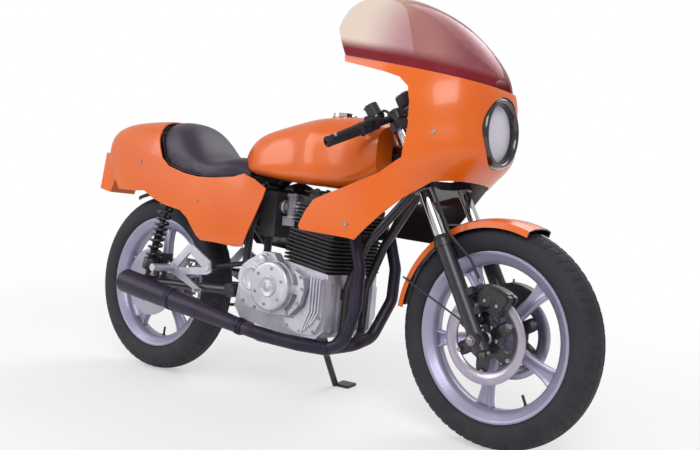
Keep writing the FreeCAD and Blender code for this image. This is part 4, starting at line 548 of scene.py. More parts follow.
def makeTyre(which, frameOf, body):
    # section turned about the axle; depth = the larger of two rib grooves and the slanted slots, and
    # low rings on the wall where sin(1.3 radius) is over 0.4
    size = tyreShape[which]
    section = tyreSection(size)
    points, faces = turned(section, tyreShape["around"], closed=True)
    grid = points.reshape(len(section), tyreShape["around"], 3)
    across = np.abs(section[:, 0]) / (size["width"] / 2)
    t = angles(tyreShape["around"])
    s, turn = np.meshgrid(across, t, indexing="ij")
    phase = turn * size["slots"] / (2 * np.pi)
    rib = np.clip(1.6 - np.abs(s - 0.26) / tyreShape["grooveWidth"], 0, 1)
    away = np.abs((phase + tyreShape["slotSlant"] * s + 0.5 * np.sign(section[:, :1])) % 1.0 - 0.5)
    slots = np.clip((tyreShape["slotShare"] - away) * 14, 0, 1)
    slots *= np.clip((s - 0.34) * 18, 0, 1) * np.clip((0.86 - s) * 14, 0, 1)
    top = section[:, 1:] > tyreShape["flange"] + 0.5 * (size["radius"] - tyreShape["flange"])
    depth = tyreShape["grooveDepth"] * np.maximum(rib * top, slots * top)
    ridge = 0.5 * (np.sin(section[:, 1:] * 1.3) > 0.4) * (s > 0.9)
    radius = np.hypot(grid[..., 1], grid[..., 2])
    grid[..., 1:] *= ((radius - depth + ridge) / radius)[..., None]
    part = placed((grid.reshape(-1, 3), faces), (0, 0, 0), (0, 1, 0))
    tyre = addPiece(which + "Tread", part, frameOf, body, "tyreRubber")
    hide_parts(which + "_tyre")
    valve = turned([(0, 6), (8, 6), (10, 4), (34, 4), (36, 3)], 12)
    stem = placed(valve, (0, 12, -210), (0, 0.1, 1))
    addPiece(which + "Valve", stem, frameOf, body, "softRubber")


makeTyre("front", onFork, "front_wheel")
makeTyre("rear", onRear, "rear_wheel")
print("stage: tyres made")


# cast wheels

wheelShape = {"flange": 243.5, "bead": 228.6, "well": 212.0, "wall": 6.0, "spokes": 5, "depth": 13.0,
              "web": 6.5, "edge": 6.0,
              "widths": [(24, 21.0), (45, 20.0), (90, 16.5), (150, 15.5), (185, 20.0), (208, 28.0)],
              "hub": 30.0, "seat": 52.0, "nose": 20.0, "bore": 8.8,
              "front": {"rim": 76.0, "seats": (62.5, 62.5)}, "rear": {"rim": 86.0, "seats": (68.5, 62.0)}}


def wheelRim(rim):
    # both flanges rounded, bead seats, the drop well between them, and the same line inside
    w, edge = wheelShape, rim / 2
    t = np.linspace(0, np.pi, 7)
    lip = np.stack([edge - 2.2 + 2.2 * np.cos(t), w["flange"] - 2.2 + 2.2 * np.sin(t)], -1)[::-1]
    seat = [(edge - 5, w["bead"] + 1), (edge - 18, w["bead"] - 1), (edge - 22, w["bead"] - 9),
            (edge - 25, w["well"])]
    inside = [(edge - 22, w["well"] - w["wall"]), (edge - 14, w["bead"] - w["wall"] - 6),
              (edge - 8, w["bead"] - w["wall"]), (edge - 2, w["flange"] - w["wall"] - 5),
              (edge, w["flange"] - 9)]
    outer = np.vstack([np.array(seat)[::-1], lip])
    half = np.array(inside)[::-1]
    return np.vstack([outer[::-1] * (-1, 1), outer, half, half[::-1] * (-1, 1)])


def wheelSpokes():
    # I section along each spoke: thick edges, thinner web, width by distance from the axle
    w = wheelShape
    r, half = np.array(w["widths"]).T
    along = np.linspace(r[0], r[-1], 19)
    width = np.interp(along, r, half)
    thick, web, edge = w["depth"], w["web"], w["edge"]
    rings = []
    for at, across in zip(along, width):
        side = [(across, thick - 1.5), (across - 1.5, thick), (across - edge, thick),
                (across - edge - 3, web)]
        ring = side + [(-a, d) for a, d in side[::-1]]
        ring += [(-a, -d) for a, d in ring]
        rings.append([(at, a, d) for a, d in ring])
    grid = np.array(rings, float)
    blade = (grid.reshape(-1, 3), shellFaces(len(along), grid.shape[1]))
    spokes = []
    for i in range(w["spokes"]):
        turn = math.radians(360 / w["spokes"] * i)
        outward = np.array([math.sin(turn), 0, math.cos(turn)])
        spokes.append(placed(blade, (0, 0, 0), outward, (0, 1, 0)))
    return spokes


def makeWheel(which, frameOf, body):
    # rim and hub turned about the axle, with the spokes between them
    size = wheelShape[which]
    right, left = size["seats"]
    hub = wheelShape["hub"]
    nose, seat, bore = wheelShape["nose"], wheelShape["seat"], wheelShape["bore"]
    end = max(right, left) + 6
    line = [(-end, bore), (-end, nose), (-right, nose), (-right, seat), (-right + 8, seat),
            (-right + 16, hub + 4), (-right + 26, hub), (left - 26, hub), (left - 16, hub + 4),
            (left - 8, seat), (left, seat), (left, nose), (end, nose), (end, bore)]
    parts = [lathe(wheelRim(size["rim"]), 160, (0, 0, 0), (0, 1, 0), closed=True),
             lathe(line, 64, (0, 0, 0), (0, 1, 0), closed=True)] + wheelSpokes()
    wheel = addPiece(which + "Wheel", joined(parts), frameOf, body, "wheelSilver")
    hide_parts(which + "_wheel_casting")


makeWheel("front", onFork, "front_wheel")
makeWheel("rear", onRear, "rear_wheel")
print("stage: wheels made")


# front brake discs

discShape = {"offset": 66.0, "thickness": 6.0, "outer": 130.0, "inner": 93.0, "hub": 26.0, "waist": 60.0,
             "arms": 6, "buttons": 6, "bolts": 6, "boltRing": 40.0, "around": 120}


def makeDiscs():
    # ground rings; carriers whose edge swings in and out: waist + (ring - waist) wave(arms t)
    d = discShape
    rings, carriers, buttons = [], [], []
    half = d["thickness"] / 2
    for side in (-1, 1):
        y = side * d["offset"]
        profile = [(-half, d["inner"]), (-half, d["outer"] - 1), (-half + 1, d["outer"]),
                   (half - 1, d["outer"]), (half, d["outer"] - 1), (half, d["inner"])]
        rings.append(lathe(profile, d["around"], (0, y, 0), (0, 1, 0), closed=True))
        t = angles(d["around"])
        wave = np.clip(0.5 + 1.3 * np.cos(d["arms"] * t), 0, 1)
        edge = d["waist"] + (d["inner"] - 0.5 - d["waist"]) * wave
        thin, hub = half - 0.5, d["hub"] + 0 * t
        rows = [(-thin, hub), (-thin, edge), (thin, edge), (thin, hub)]
        grid = np.stack([np.stack([along + 0 * t, r * np.cos(t), r * np.sin(t)], -1) for along, r in rows])
        carrier = (grid.reshape(-1, 3), shellFaces(len(rows), d["around"], closed=True))
        carriers.append(placed(carrier, (0, y, 0), (0, 1, 0)))
        for i in range(d["buttons"]):
            turn = 2 * math.pi * i / d["buttons"]
            at = np.array([-d["inner"] * math.cos(turn), y, d["inner"] * math.sin(turn)])
            for face in (-1, 1):
                buttons.append(screw(at + (0, face * half, 0), (0, face, 0), 6.5, 1.5))
        for i in range(d["bolts"]):
            turn = math.pi / 3 * i + 0.5
            at = (d["boltRing"] * math.cos(turn), y + side * half, d["boltRing"] * math.sin(turn))
            buttons.append(hexNut(at, (0, side, 0), 6.5, 5))
    band = addPiece("discRings", joined(rings), onFork, "front_wheel", "discSteel")
    addPiece("discCarriers", joined(carriers), onFork, "front_wheel", "satinBlack")
    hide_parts("front_discs")
    addPiece("discButtons", joined(buttons), onFork, "front_wheel", "steel")


makeDiscs()
print("stage: discs made")


# front calipers

caliperShape = {"inside": 78.0, "outside": 152.0, "bridge": 134.5, "first": 24.0, "last": 70.0, "near": 46.0,
                "far": 90.4, "slotNear": 60.8, "slotFar": 71.2, "piston": 18.5, "pistonAt": 108.0,
                "pistonTurn": 0.19, "lugs": (74, 130), "nippleAt": (149.0, 79.0), "nippleTurn": 0.3}


def arcBlock(inner, outer, first, last, corner=7.0):
    # (x, z) outline between two radii and two angles, its corners cut off
    a, b = math.radians(first), math.radians(last)
    cutIn, cutOut = corner / inner, corner / outer
    far = [(outer, a + cutOut), *[(outer, a + cutOut + (b - a - 2 * cutOut) * i / 8) for i in range(1, 8)],
           (outer, b - cutOut), (outer - corner, b)]
    near = [(inner + corner, b), (inner, b - cutIn),
            *[(inner, b - cutIn - (b - a - 2 * cutIn) * i / 6) for i in range(1, 6)], (inner, a + cutIn),
            (inner + corner, a), (outer - corner, a)]
    return [(r * math.cos(t), r * math.sin(t)) for r, t in far + near]


def makeCalipers():
    # two cheeks and a bridge round the disc edge, paired piston caps, lugs to the leg, and bleed screws
    c = caliperShape
    solids, bits = [], []
    middle = math.radians((c["first"] + c["last"]) / 2)
    for side in (-1, 1):
        spans = [(c["inside"], c["outside"] - 2, c["near"], c["slotNear"], c["first"], c["last"]),
                 (c["inside"], c["outside"] - 2, c["slotFar"], c["far"] - 5, c["first"], c["last"]),
                 (c["inside"] + 6, c["outside"] - 8, c["far"] - 5, c["far"] - 2, c["first"] + 3,
                  c["last"] - 3),
                 (c["bridge"], c["outside"], c["near"] + 4, c["far"] - 8, c["first"] + 5, c["last"] - 5)]
        for inner, outer, low, high, first, last in spans:
            low, high = sorted((side * low, side * high))
            solids.append(slab(arcBlock(inner, outer, first, last), low, high))
        for turn in (middle - c["pistonTurn"], middle + c["pistonTurn"]):
            at = np.array([c["pistonAt"] * math.cos(turn), 0, c["pistonAt"] * math.sin(turn)])
            cap = [(0, c["piston"]), (2.2, c["piston"]), (3.2, c["piston"] - 1.5), (3.2, 11),
                   (1.6, 10), (1.6, 3)]
            solids.append(lathe(cap, 32, at + (0, side * (c["far"] - 3), 0), (0, side, 0)))
            bits.append(screw(at + (0, side * (c["far"] - 1.5), 0), (0, side, 0), 5.0, 2.5))
        for z in c["lugs"]:
            low, high = sorted((side * 80, side * (c["far"] - 2)))
            lug = [(26, z - 9), (66, z - 9), (66, z + 9), (26, z + 9), (22, z + 4), (22, z - 4)]
            solids.append(slab(lug, low, high))
            bits.append(hexNut((33, side * (c["far"] - 2), z), (0, side, 0), 7.0, 5.0))
        nipple = turned([(0, 4.5), (4, 4.5), (5, 3), (11, 3), (12, 2)], 12)
        end = middle + c["nippleTurn"]
        out, across = c["nippleAt"]
        bits.append(placed(nipple, (out * math.cos(end), side * across, out * math.sin(end)),
                           (math.cos(end), 0, math.sin(end))))
    body = addPiece("caliperBodies", joined(solids), onFork, "steering", "satinBlack",
                    smooth=False)
    addPiece("caliperScrews", joined(bits), onFork, "steering", "steel")
    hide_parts("front_calipers")


makeCalipers()
print("stage: calipers made")


# drive chain

chainShape = {"pitch": 15.875, "rearTeeth": 36, "frontTeeth": 15, "front": (560.0, 345.0), "offset": 75.0,
              "plateHeight": 12.4, "plate": 1.5, "roller": 3.0, "inner": 4.6, "outer": 6.3}


def chainCentres():
    # rollers spaced evenly by arc length round both sprockets' pitch circles and the two straight runs
    c = chainShape
    big, small = [c["pitch"] / (2 * math.sin(math.pi / n)) for n in (c["rearTeeth"], c["frontTeeth"])]
    rear, front = np.array([0, 327.5]), np.array(c["front"])
    along = (front - rear) / np.linalg.norm(front - rear)
    up = np.array([-along[1], along[0]])
    lean = math.asin((big - small) / np.linalg.norm(front - rear))
    top, low = [up * s * math.cos(lean) + along * math.sin(lean) for s in (1, -1)]
    angle = [math.atan2(v[1], v[0]) for v in (top, low)]
    t = np.linspace(angle[0], angle[1], 60)
    nose = front + small * np.stack([np.cos(t), np.sin(t)], -1)
    t = np.linspace(angle[1], angle[0] - 2 * math.pi, 160)
    tail = rear + big * np.stack([np.cos(t), np.sin(t)], -1)
    loop = np.vstack([nose, tail, nose[:1]])
    reach = np.concatenate([[0], np.cumsum(np.linalg.norm(np.diff(loop, axis=0), axis=1))])
    count = 2 * int(round(reach[-1] / c["pitch"] / 2))
    places = np.linspace(0, reach[-1], count, endpoint=False)
    return np.stack([np.interp(places, reach, loop[:, i]) for i in (0, 1)], -1)


def makeChain():
    # each link: plates with a waist, 6.2 round the pins; outer plates stand off the inner ones
    c = chainShape
    centres = chainCentres()
    half = c["plateHeight"] / 2
    t = np.radians([-75, -45, -15, 15, 45, 75])
    end = np.stack([c["pitch"] / 2 + half * np.cos(t), half * np.sin(t)], -1)
    waist = [[0, 0.68 * half]]
    shape = np.vstack([end, waist, -end, np.negative(waist)])
    parts = []
    for i, (a, b) in enumerate(zip(centres, np.roll(centres, -1, 0))):
        way = (b - a) / np.linalg.norm(b - a)
        turn = np.array([way, [-way[1], way[0]]])
        outline = shape @ turn + (a + b) / 2
        stand = c["inner"] if i % 2 else c["outer"]
        for side in (-1, 1):
            y = c["offset"] + side * stand
            parts.append(slab(outline, y - c["plate"] / 2, y + c["plate"] / 2))
        pin = turned([(-7.6, 2.0), (-7.2, 2.6), (-4.0, 2.6), (-3.9, c["roller"]), (3.9, c["roller"]),
                      (4.0, 2.6), (7.2, 2.6), (7.6, 2.0)], 8)
        parts.append(placed(pin, (a[0], c["offset"], a[1]), (0, 1, 0)))
    chain = addPiece("rollerChain", joined(parts), onMachine, "chassis", "steel", smooth=False)
    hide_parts("chain")


makeChain()
print("stage: chain made")


# rear spring struts

strutShape = {"low": (44.0, 133.0, 345.0), "high": (108.0, 104.0, 680.0), "boltFrom": 117.5,
              "wire": 4.8, "coil": 23.0, "turns": 8.5, "springFrom": 78.0, "springTo": 284.0}


def makeStruts():
    # eyes, damper body and cups turned along the strut; spring: coil (cos, sin)(2 pi turns u) with flat ends
    st = strutShape
    bodies, springs = [], []
    for side in (-1, 1):
        low = np.array(st["low"]) * (1, side, 1)
        high = np.array(st["high"]) * (1, side, 1)
        way = high - low
        length = np.linalg.norm(way)
        profile = [(6, 7), (20, 9), (30, 12), (34, 26), (40, 27), (72, 27), (76, 25), (78, 14), (180, 14),
                   (181, 9), (length - 54, 9), (length - 52, 26), (length - 48, 28), (length - 40, 28),
                   (length - 36, 20), (length - 20, 14), (length - 10, 10)]
        bodies.append(lathe(profile, 32, low, way))
        for end in (low, high):
            eye = turned([(-13, 7.5), (-13, 13), (-11, 14), (11, 14), (13, 13), (13, 7.5)], 24)
            bodies.append(placed(eye, end, (0, 1, 0)))
            bodies.append(hexNut(end + np.array([0, side * 13, 0]), (0, side, 0), 9, 7))
        bolt = turned([(0, 7), (abs(low[1]) - st["boltFrom"], 7)], 16)
        bodies.append(placed(bolt, (low[0], side * st["boltFrom"], low[2]), (0, side, 0)))
        u = np.linspace(0, 1, int(36 * st["turns"]))
        run = st["springFrom"] + (st["springTo"] - st["springFrom"]) * np.clip(
            u + 0.035 * np.sin(2 * np.pi * u), 0, 1)
        t = 2 * np.pi * st["turns"] * u
        helix = np.stack([run, st["coil"] * np.cos(t), st["coil"] * np.sin(t)], -1)
        springs.append(placed(tubeAlong(helix, st["wire"], 8), low, way))
    strut = addPiece("strutBodies", joined(bodies), onMachine, "chassis", "satinBlack")
    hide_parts("rear_shocks")
    addPiece("strutSprings", joined(springs), onMachine, "chassis", "springBlack")


makeStruts()
print("stage: struts made")


# headlamp

lampShape = {"nose": 1385.0, "height": 896.0, "radius": 103.0, "lens": 85.0, "flutes": 14, "dome": 16.0,
             "paneRings": 26, "paneAround": 120}


def makeLamp():
    # thick rounded bezel and bowl turned about the lamp's axis; reflector: depth goes with (r / rim) squared;
    # lens: dome (1 - (r / rim) squared), its inside fluted by |sin(pi flutes y / (2 rim))|
    lamp = lampShape
    n, r, q = lamp["nose"], lamp["radius"], lamp["lens"]
    t = np.linspace(0, np.pi, 13)
    middle, thick = (r + q) / 2 - 1, (r - q) / 2 + 1
    nose = np.stack([n - 18 + 17 * np.sin(t), middle + thick * np.cos(t)], -1)
    back = [(n - 93, 30), (n - 80, q - 14), (n - 61, q + 8), (n - 60, r)]
    room = [(n - 30, q - 1), (n - 62, q - 3), (n - 80, q - 20), (n - 90, 24)]
    shell = np.vstack([back, nose, room])
    ring = lathe(shell, 96, (0, 0, lamp["height"]), (1, 0, 0), closed=True)
    bezel = addPiece("lampBezel", ring, onMachine, "chassis", "lampBlack")
    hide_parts("headlamp_shell")
    radius = np.linspace(8, q - 4, 16)
    front = np.stack([n - 82 + 46 * (radius / q) ** 2, radius], -1)
    bowl = turned(np.vstack([front + (-1.5, 0), front[::-1]]), 72, closed=True)
    bowl = placed(bowl, (0, 0, lamp["height"]), (1, 0, 0))
    addPiece("lampReflector", bowl, onMachine, "chassis", "chromePlate")
    bulb = turned([(0, 9), (18, 9), (20, 7), (38, 7), (42, 5), (44, 2)], 16)
    bulb = placed(bulb, (n - 84, 0, lamp["height"]), (1, 0, 0))
    addPiece("lampBulb", bulb, onMachine, "chassis", "dialGlass")
    turn = angles(lamp["paneAround"])
    radius = np.linspace(q - 0.4, 4, lamp["paneRings"])
    rr, tt = np.meshgrid(radius, turn, indexing="ij")
    y, z = rr * np.cos(tt), rr * np.sin(tt)
    dome = lamp["dome"] * (1 - (rr / q) ** 2)
    ripple = 0.9 * np.abs(np.sin(np.pi * y * lamp["flutes"] / (2 * q))) * (rr < q - 5)
    outside = np.stack([n - 25 + dome, y, z], -1)
    inside = np.stack([n - 28 + dome - ripple, y, z], -1)
    grid = np.concatenate([inside[::-1], outside])
    pane = (grid.reshape(-1, 3), shellFaces(2 * lamp["paneRings"], lamp["paneAround"]))
    pane = placed(pane, (0, 0, lamp["height"]), (1, 0, 0))
    glass = addPiece("lampLens", pane, onMachine, "chassis", "lampGlass")
    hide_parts("headlamp_lens")


makeLamp()
print("stage: headlamp made")


# windscreen

def pastPlane(tree, where, direction, level, fade):
    # 0 before a plane, 1 past it: the place measured along a direction
    dot = tree.nodes.new("ShaderNodeVectorMath")
    dot.operation = "DOT_PRODUCT"
    tree.links.new(where, dot.inputs[0])
    dot.inputs[1].default_value = [float(v) for v in direction]
    return rangeNode(tree, dot.outputs["Value"], level - fade, level + fade)


screenLook = {"clear": (236, 218, 204), "front": (190, 144, 150), "band": (134, 46, 54), "seam": (1375, 1020),
              "slope": 0.19, "bandHeight": 40.0, "bandFade": 0.018, "frontFrom": 1080.0, "frontFade": 0.09,
              "rough": 0.03, "ior": 1.07}


def makeScreenMaterial():
    # pale rear pane, rosier towards the nose, and a dark red band along the seam
    look = screenLook
    material = clearMaterial("screenTint", look["clear"], look["rough"], look["ior"])
    tree = material.node_tree
    shader = tree.nodes["Principled BSDF"]
    where = tree.nodes.new("ShaderNodeTexCoord").outputs["Object"]
    pane = shader.inputs["Base Color"].links[0].from_socket
    ahead = machineTurn @ np.array([1.0, 0, 0])
    start = float(ahead @ onMachine([[look["frontFrom"], 0, look["seam"][1]]])[0])
    front = pastPlane(tree, where, ahead, start, look["frontFade"])
    pane = mixColor(tree, front, pane, tone(*look["front"]))
    up = machineTurn @ np.array([look["slope"], 0, 1.0]) / math.hypot(1, look["slope"])
    low = onMachine([[look["seam"][0], 0, look["seam"][1] + look["bandHeight"]]])[0]
    above = pastPlane(tree, where, up, float(up @ low), look["bandFade"])
    tree.links.new(mixColor(tree, above, tone(*look["band"]), pane), shader.inputs["Base Color"])
    tree.links.new(rangeNode(tree, above, 0, 1, 0.25, 1.0), shader.inputs["Transmission Weight"])
    return material


nodes["windscreen"].data.materials.clear()
nodes["windscreen"].data.materials.append(makeScreenMaterial())


# seat

seatLook = {"voxel": 0.0055, "shrink": 0.0035, "swell": 0.005, "pressure": 4.0, "frames": 20,
            "welt": 3.0, "line": [(60, 872), (70, 838), (92, 797), (133, 766), (215, 743), (294, 731),
                                  (369, 730), (430, 733)],
            "halfWidth": [(40, 121), (110, 138), (160, 142), (215, 144), (262, 142), (325, 140), (400, 132),
                          (450, 118)]}


def moved(mesh, points):
    mesh.vertices.foreach_set("co", np.asarray(points, float).ravel())
    mesh.update()


def meshArrays(mesh):
    points, normals = np.empty(3 * len(mesh.vertices)), np.empty(3 * len(mesh.vertices))
    mesh.vertices.foreach_get("co", points)
    mesh.vertex_normals.foreach_get("vector", normals)
    return points.reshape(-1, 3), normals.reshape(-1, 3)


def withModifiers(piece):
    # the mesh as its modifiers leave it, with no modifier left on the piece
    graph = bpy.context.evaluated_depsgraph_get()
    mesh = bpy.data.meshes.new_from_object(piece.evaluated_get(graph))
    piece.modifiers.clear()
    piece.data = mesh
    return mesh


def swellPad(pad):
    # cloth blown up from inside, each point moved no further than the cap
    start, _ = meshArrays(pad.data)
    cloth = pad.modifiers.new("swell", "CLOTH")
    cloth.settings.use_pressure = True
    cloth.settings.uniform_pressure_force = seatLook["pressure"]
    cloth.settings.effector_weights.gravity = 0.0
    cloth.settings.quality = 5
    for frameNumber in range(1, seatLook["frames"] + 1):
        bpy.context.scene.frame_set(frameNumber)
    mesh = withModifiers(pad)
    end, _ = meshArrays(mesh)
    step = end - start
    far = np.linalg.norm(step, axis=1)[:, None]
    moved(mesh, start + step * np.minimum(1.0, seatLook["swell"] / np.maximum(far, 1e-9)))
    bpy.context.scene.frame_set(1)


def makeSeat():
    # the pad: its own solid drawn in a little, swollen again as cloth, and made finer
    source = bmesh.new()
    source.from_mesh(nodes["seat_pad"].data)
    bmesh.ops.remove_doubles(source, verts=source.verts, dist=1e-5)
    mesh = bpy.data.meshes.new("seatCushion")
    source.to_mesh(mesh)
    source.free()
    pad = linked("seatCushion", mesh)
    voxels = pad.modifiers.new("even", "REMESH")
    voxels.mode, voxels.voxel_size, voxels.use_smooth_shade = "VOXEL", seatLook["voxel"], True
    mesh = withModifiers(pad)
    points, normals = meshArrays(mesh)
    moved(mesh, points - normals * seatLook["shrink"])
    swellPad(pad)
    finer = pad.modifiers.new("finer", "SUBSURF")
    finer.levels = finer.render_levels = 1
    mesh = withModifiers(pad)
    mesh.polygons.foreach_set("use_smooth", [True] * len(mesh.polygons))
    mesh.materials.clear()
    mesh.materials.append(finishes["seatVinyl"])
    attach(pad, "chassis")
    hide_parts("seat_pad")
    print("stage: seat swollen,", len(mesh.polygons), "faces")


def makeWelt():
    # a piped seam along the pad's lower edge, each side
    along = smoothPath([(x, 0, z) for x, z in seatLook["line"]])
    x, half = np.array(seatLook["halfWidth"], float).T
    welts = []
    for side in (-1, 1):
        path = along.copy()
        path[:, 1] = side * (np.interp(along[:, 0], x, half) - seatLook["welt"])
        welts.append(tubeAlong(path, seatLook["welt"], 8))
    addPiece("seatWelts", joined(welts), onMachine, "chassis", "weltVinyl")


makeSeat()
makeWelt()
print("stage: seat made")


# bars: grips, lever ends and screws

barShape = {"start": (0.0, 100.0, 703.0), "out": 12.0, "length": 235.0, "grip": 125.0, "radius": 16.2,
            "bore": 11.4, "ribs": 22, "way": (-0.4924, 0.8529, -0.1736), "sweep": 30.0}


def barEnds(side):
    way = np.array(barShape["way"]) * (1, side, 1)
    return np.array(barShape["start"]) * (1, side, 1) + barShape["out"] * way, way


def makeGrips():
    # rubber sleeves with rings round them, a flange at the inner end and a rounded outer end
    b = barShape
    grips = []
    for side in (-1, 1):
        start, way = barEnds(side)
        inner = b["length"] - b["grip"]
        rows = [(inner, b["bore"]), (inner, 20.0), (inner + 2, 21.4), (inner + 5, 21.4),
                (inner + 7, b["radius"])]
        pitch = (b["grip"] - 26) / b["ribs"]
        for i in range(b["ribs"]):
            at = inner + 12 + i * pitch
            low = b["radius"] - 1.5
            rows += [(at, b["radius"]), (at + 0.25 * pitch, low), (at + 0.75 * pitch, low)]
        end = b["length"] - 0.5
        rows += [(end - 11, b["radius"]), (end - 3, b["radius"]), (end, b["radius"] - 2), (end, b["bore"])]
        grips.append(lathe(rows, 32, start, way, closed=True))
    grip = addPiece("ribbedGrips", joined(grips), onFork, "steering", "softRubber")
    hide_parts("handlebar_grips")


def makeBarDetails():
    # lever pivot screws, clamp screws, cup lid screws and the ball ends of the levers
    bits = []
    for side in (-1, 1):
        start, way = barEnds(side)
        forward = np.array([math.cos(math.radians(barShape["sweep"])),
                            side * math.sin(math.radians(barShape["sweep"])), 0.0])
        up = np.cross(way, forward)
        up = up if up[2] > 0 else -up
        perch = start + way * (barShape["length"] - barShape["grip"] - 41)
        bits.append(screw(perch + forward * 38 + up * 7.5, up, 6.5, 3.5))
        for step in (-6, 6):
            bits.append(screw(perch - forward * 15.5 + way * step, -forward, 3.4, 3.0))
        if side < 0:
            lid = perch + forward * 20 + up * 51.5
            for turn in (45, 135, 225, 315):
                t = math.radians(turn)
                bits.append(screw(lid + (forward * math.cos(t) + way * math.sin(t)) * 15, up, 3.0, 2.0))
        tip = perch + forward * (44 - 12) + way * (46 + 95)
        ball = turned([(-5, 3), (-3.5, 5), (0, 6.2), (3.5, 5), (5, 3)], 16)
        bits.append(placed(ball, tip, way))
    addPiece("barScrews", joined(bits), onFork, "steering", "steel")


makeGrips()
makeBarDetails()
print("stage: bars made")


# instruments

dialShape = {"at": (16.0, 40.0), "top": 775.3, "depth": 50.7, "face": 30.5, "ticks": 21,
             "firstTick": 225.0, "lastTick": -45.0}


def makeDials():
    # black cups with a chromed ring, a dark face, pale ticks and a red needle under a flat glass
    d = dialShape
    cups, rings, faces, ticks, needles, panes = [], [], [], [], [], []
    for side in (-1, 1):
        at = np.array([d["at"][0], side * d["at"][1], d["top"]])
        cup = [(-d["depth"], 4), (-d["depth"], 24), (-d["depth"] + 12, 34), (-8, 35.2), (-4, 35.2),
               (-4, 31.5), (-6, 31), (-8, 4)]
        cups.append(lathe(cup, 48, at, (0, 0, 1), closed=True))
        t = angles(12)
        ring = turned(np.stack([-2.9 - 2.5 * np.cos(t), 33.0 + 2.6 * np.sin(t)], -1), 48, closed=True)
        rings.append(placed(ring, at, (0, 0, 1)))
        plate = turned([(-7.9, d["face"]), (-6.8, d["face"]), (-6.6, d["face"] - 0.5)], 48)
        faces.append(placed(plate, at, (0, 0, 1)))
        panes.append(lathe([(-3.4, d["face"]), (-2.0, d["face"])], 48, at, (0, 0, 1)))
        for i in range(d["ticks"]):
            share = i / (d["ticks"] - 1)
            t = math.radians(d["firstTick"] + share * (d["lastTick"] - d["firstTick"]))
            long = 6.0 if i % 5 == 0 else 3.2
            outward = np.array([-math.sin(t), math.cos(t), 0])
            bar = [(d["face"] - 3 - long, -0.45), (d["face"] - 3, -0.45), (d["face"] - 3, 0.45),
                   (d["face"] - 3 - long, 0.45)]
            points, quads = slab(bar, -0.3, 0.3)
            across = np.cross((0, 0, 1), outward)
            laid = points[:, :1] * outward + points[:, 2:] * across + points[:, 1:2] * np.array([0, 0, 1.0])
            ticks.append((laid + at + (0, 0, -6.3), [f[::-1] for f in quads]))
        needle = [(-6, 1.4), (0, 1.7), (22, 0.5)]
        needles.append(lathe(needle, 8, at + (0, 0, -5.0), (-0.6, -0.6 * side, 0)))
    cup = addPiece("dialCups", joined(cups), onFork, "steering", "blackPlastic")
    post = [lathe([(0, 9), (36, 9)], 16, (9, y, 683.5), (0, 0, 1)) for y in (-18, 18)]
    plate = slab([(-20, -74), (52, -74), (52, 74), (-20, 74)], 719.3, 724.0)
    flat = (plate[0][:, [0, 2, 1]], [f[::-1] for f in plate[1]])
    mount = joined(post + [flat])
    addPiece("dialMount", mount, onFork, "steering", "satinBlack", smooth=False)
    addPiece("dialRings", joined(rings), onFork, "steering", "chromePlate")
    addPiece("dialFaces", joined(faces), onFork, "steering", "dialFace")
    addPiece("dialTicks", joined(ticks), onFork, "steering", "dialMark", smooth=False)
    addPiece("dialNeedles", joined(needles), onFork, "steering", "needleRed")
    addPiece("dialGlass", joined(panes), onFork, "steering", "lampGlass")
    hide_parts("instruments")


makeDials()
print("stage: instruments made")


# screws on the bodywork

bodyScrews = {"start": 420.0, "seatEnds": 900.0, "height": 3.0,
              "spots": [  # place along, height, radius
                  (1271, 873, 6.5), (1026, 601, 6.5), (301, 640, 6.0), (-36, 773, 6.0)]}


def surfacePoint(name, origin, way):
    # where a ray meets a carried piece, in the frame's metres
    data = nodes[name].data
    tree = BVHTree.FromPolygons([v.co[:] for v in data.vertices], [p.vertices[:] for p in data.polygons])
    hit, normal, _, _ = tree.ray_cast(Vector(origin), Vector(way))
    return (None, None) if hit is None else (np.array(hit), np.array(normal))


def makeBodyScrews():
    # cap screws set on the panels' own surface, found by a ray from outside
    bits = []
    for x, z, radius in bodyScrews["spots"]:
        for side in (-1, 1):
            start = onMachine([[x, side * bodyScrews["start"], z]])[0]
            inward = machineTurn @ np.array([0, -side, 0.0])
            name = "fairing" if x > bodyScrews["seatEnds"] else "seat_cowl"
            hit, normal = surfacePoint(name, start, inward)
            if hit is None:
                continue
            normal = normal if normal @ inward < 0 else -normal
            part = screw((0, 0, 0), (1, 0, 0), radius, bodyScrews["height"])
            points, quads = placed((part[0] / 1000.0, part[1]), hit, normal)
            bits.append((points, quads))
    points, quads = joined(bits)
    buildPiece("panelScrews", points, quads, "chassis", finishes["steel"])


makeBodyScrews()
print("stage: panel screws made")


# engine details

engineShape = {"deck": (797.0, 455.0), "tilt": 10.0, "coverFace": -130.3, "coverBase": 34.0,
               "clutchAt": (698.0, 384.0), "drumFace": -192.3, "domeAt": (612.0, 402.0),
               "fillerAt": (660.0, 466.0), "fillerFace": -178.3, "generatorAt": (790.0, 348.0),
               "generatorFace": 176.3, "barrel": 118.0, "head": 96.0, "drumRing": 58.0,
               "generatorRing": 56.0, "plugSide": 131.0, "leadRadius": 3.4}


def onEngine(points):
    # cylinder frame to machine: tilted forward about the deck, then shifted
    turn = turnAbout("y", engineShape["tilt"])
    return np.asarray(points, float) @ turn.T + np.array([engineShape["deck"][0], 0, engineShape["deck"][1]])


def inwardOutline(outline, inset):
    # points of an outline drawn towards its middle
    outline = np.asarray(outline, float)
    middle = outline.mean(0)
    away = outline - middle
    length = np.linalg.norm(away, axis=1)[:, None]
    return middle + away * (1 - inset / length)


clutchOutline = [(547, 389), (560, 322), (616, 303), (700, 296), (770, 300), (812, 338), (826, 388),
                 (816, 428), (708, 466), (576, 457)]
frontOutline = [(832, 434), (884, 426), (887, 300), (860, 250), (800, 246), (742, 262)]
driveOutline = [(545, 268), (620, 266), (700, 264), (780, 263), (860, 262), (880, 300), (880, 400),
                (850, 432), (760, 434), (680, 435), (560, 436)]


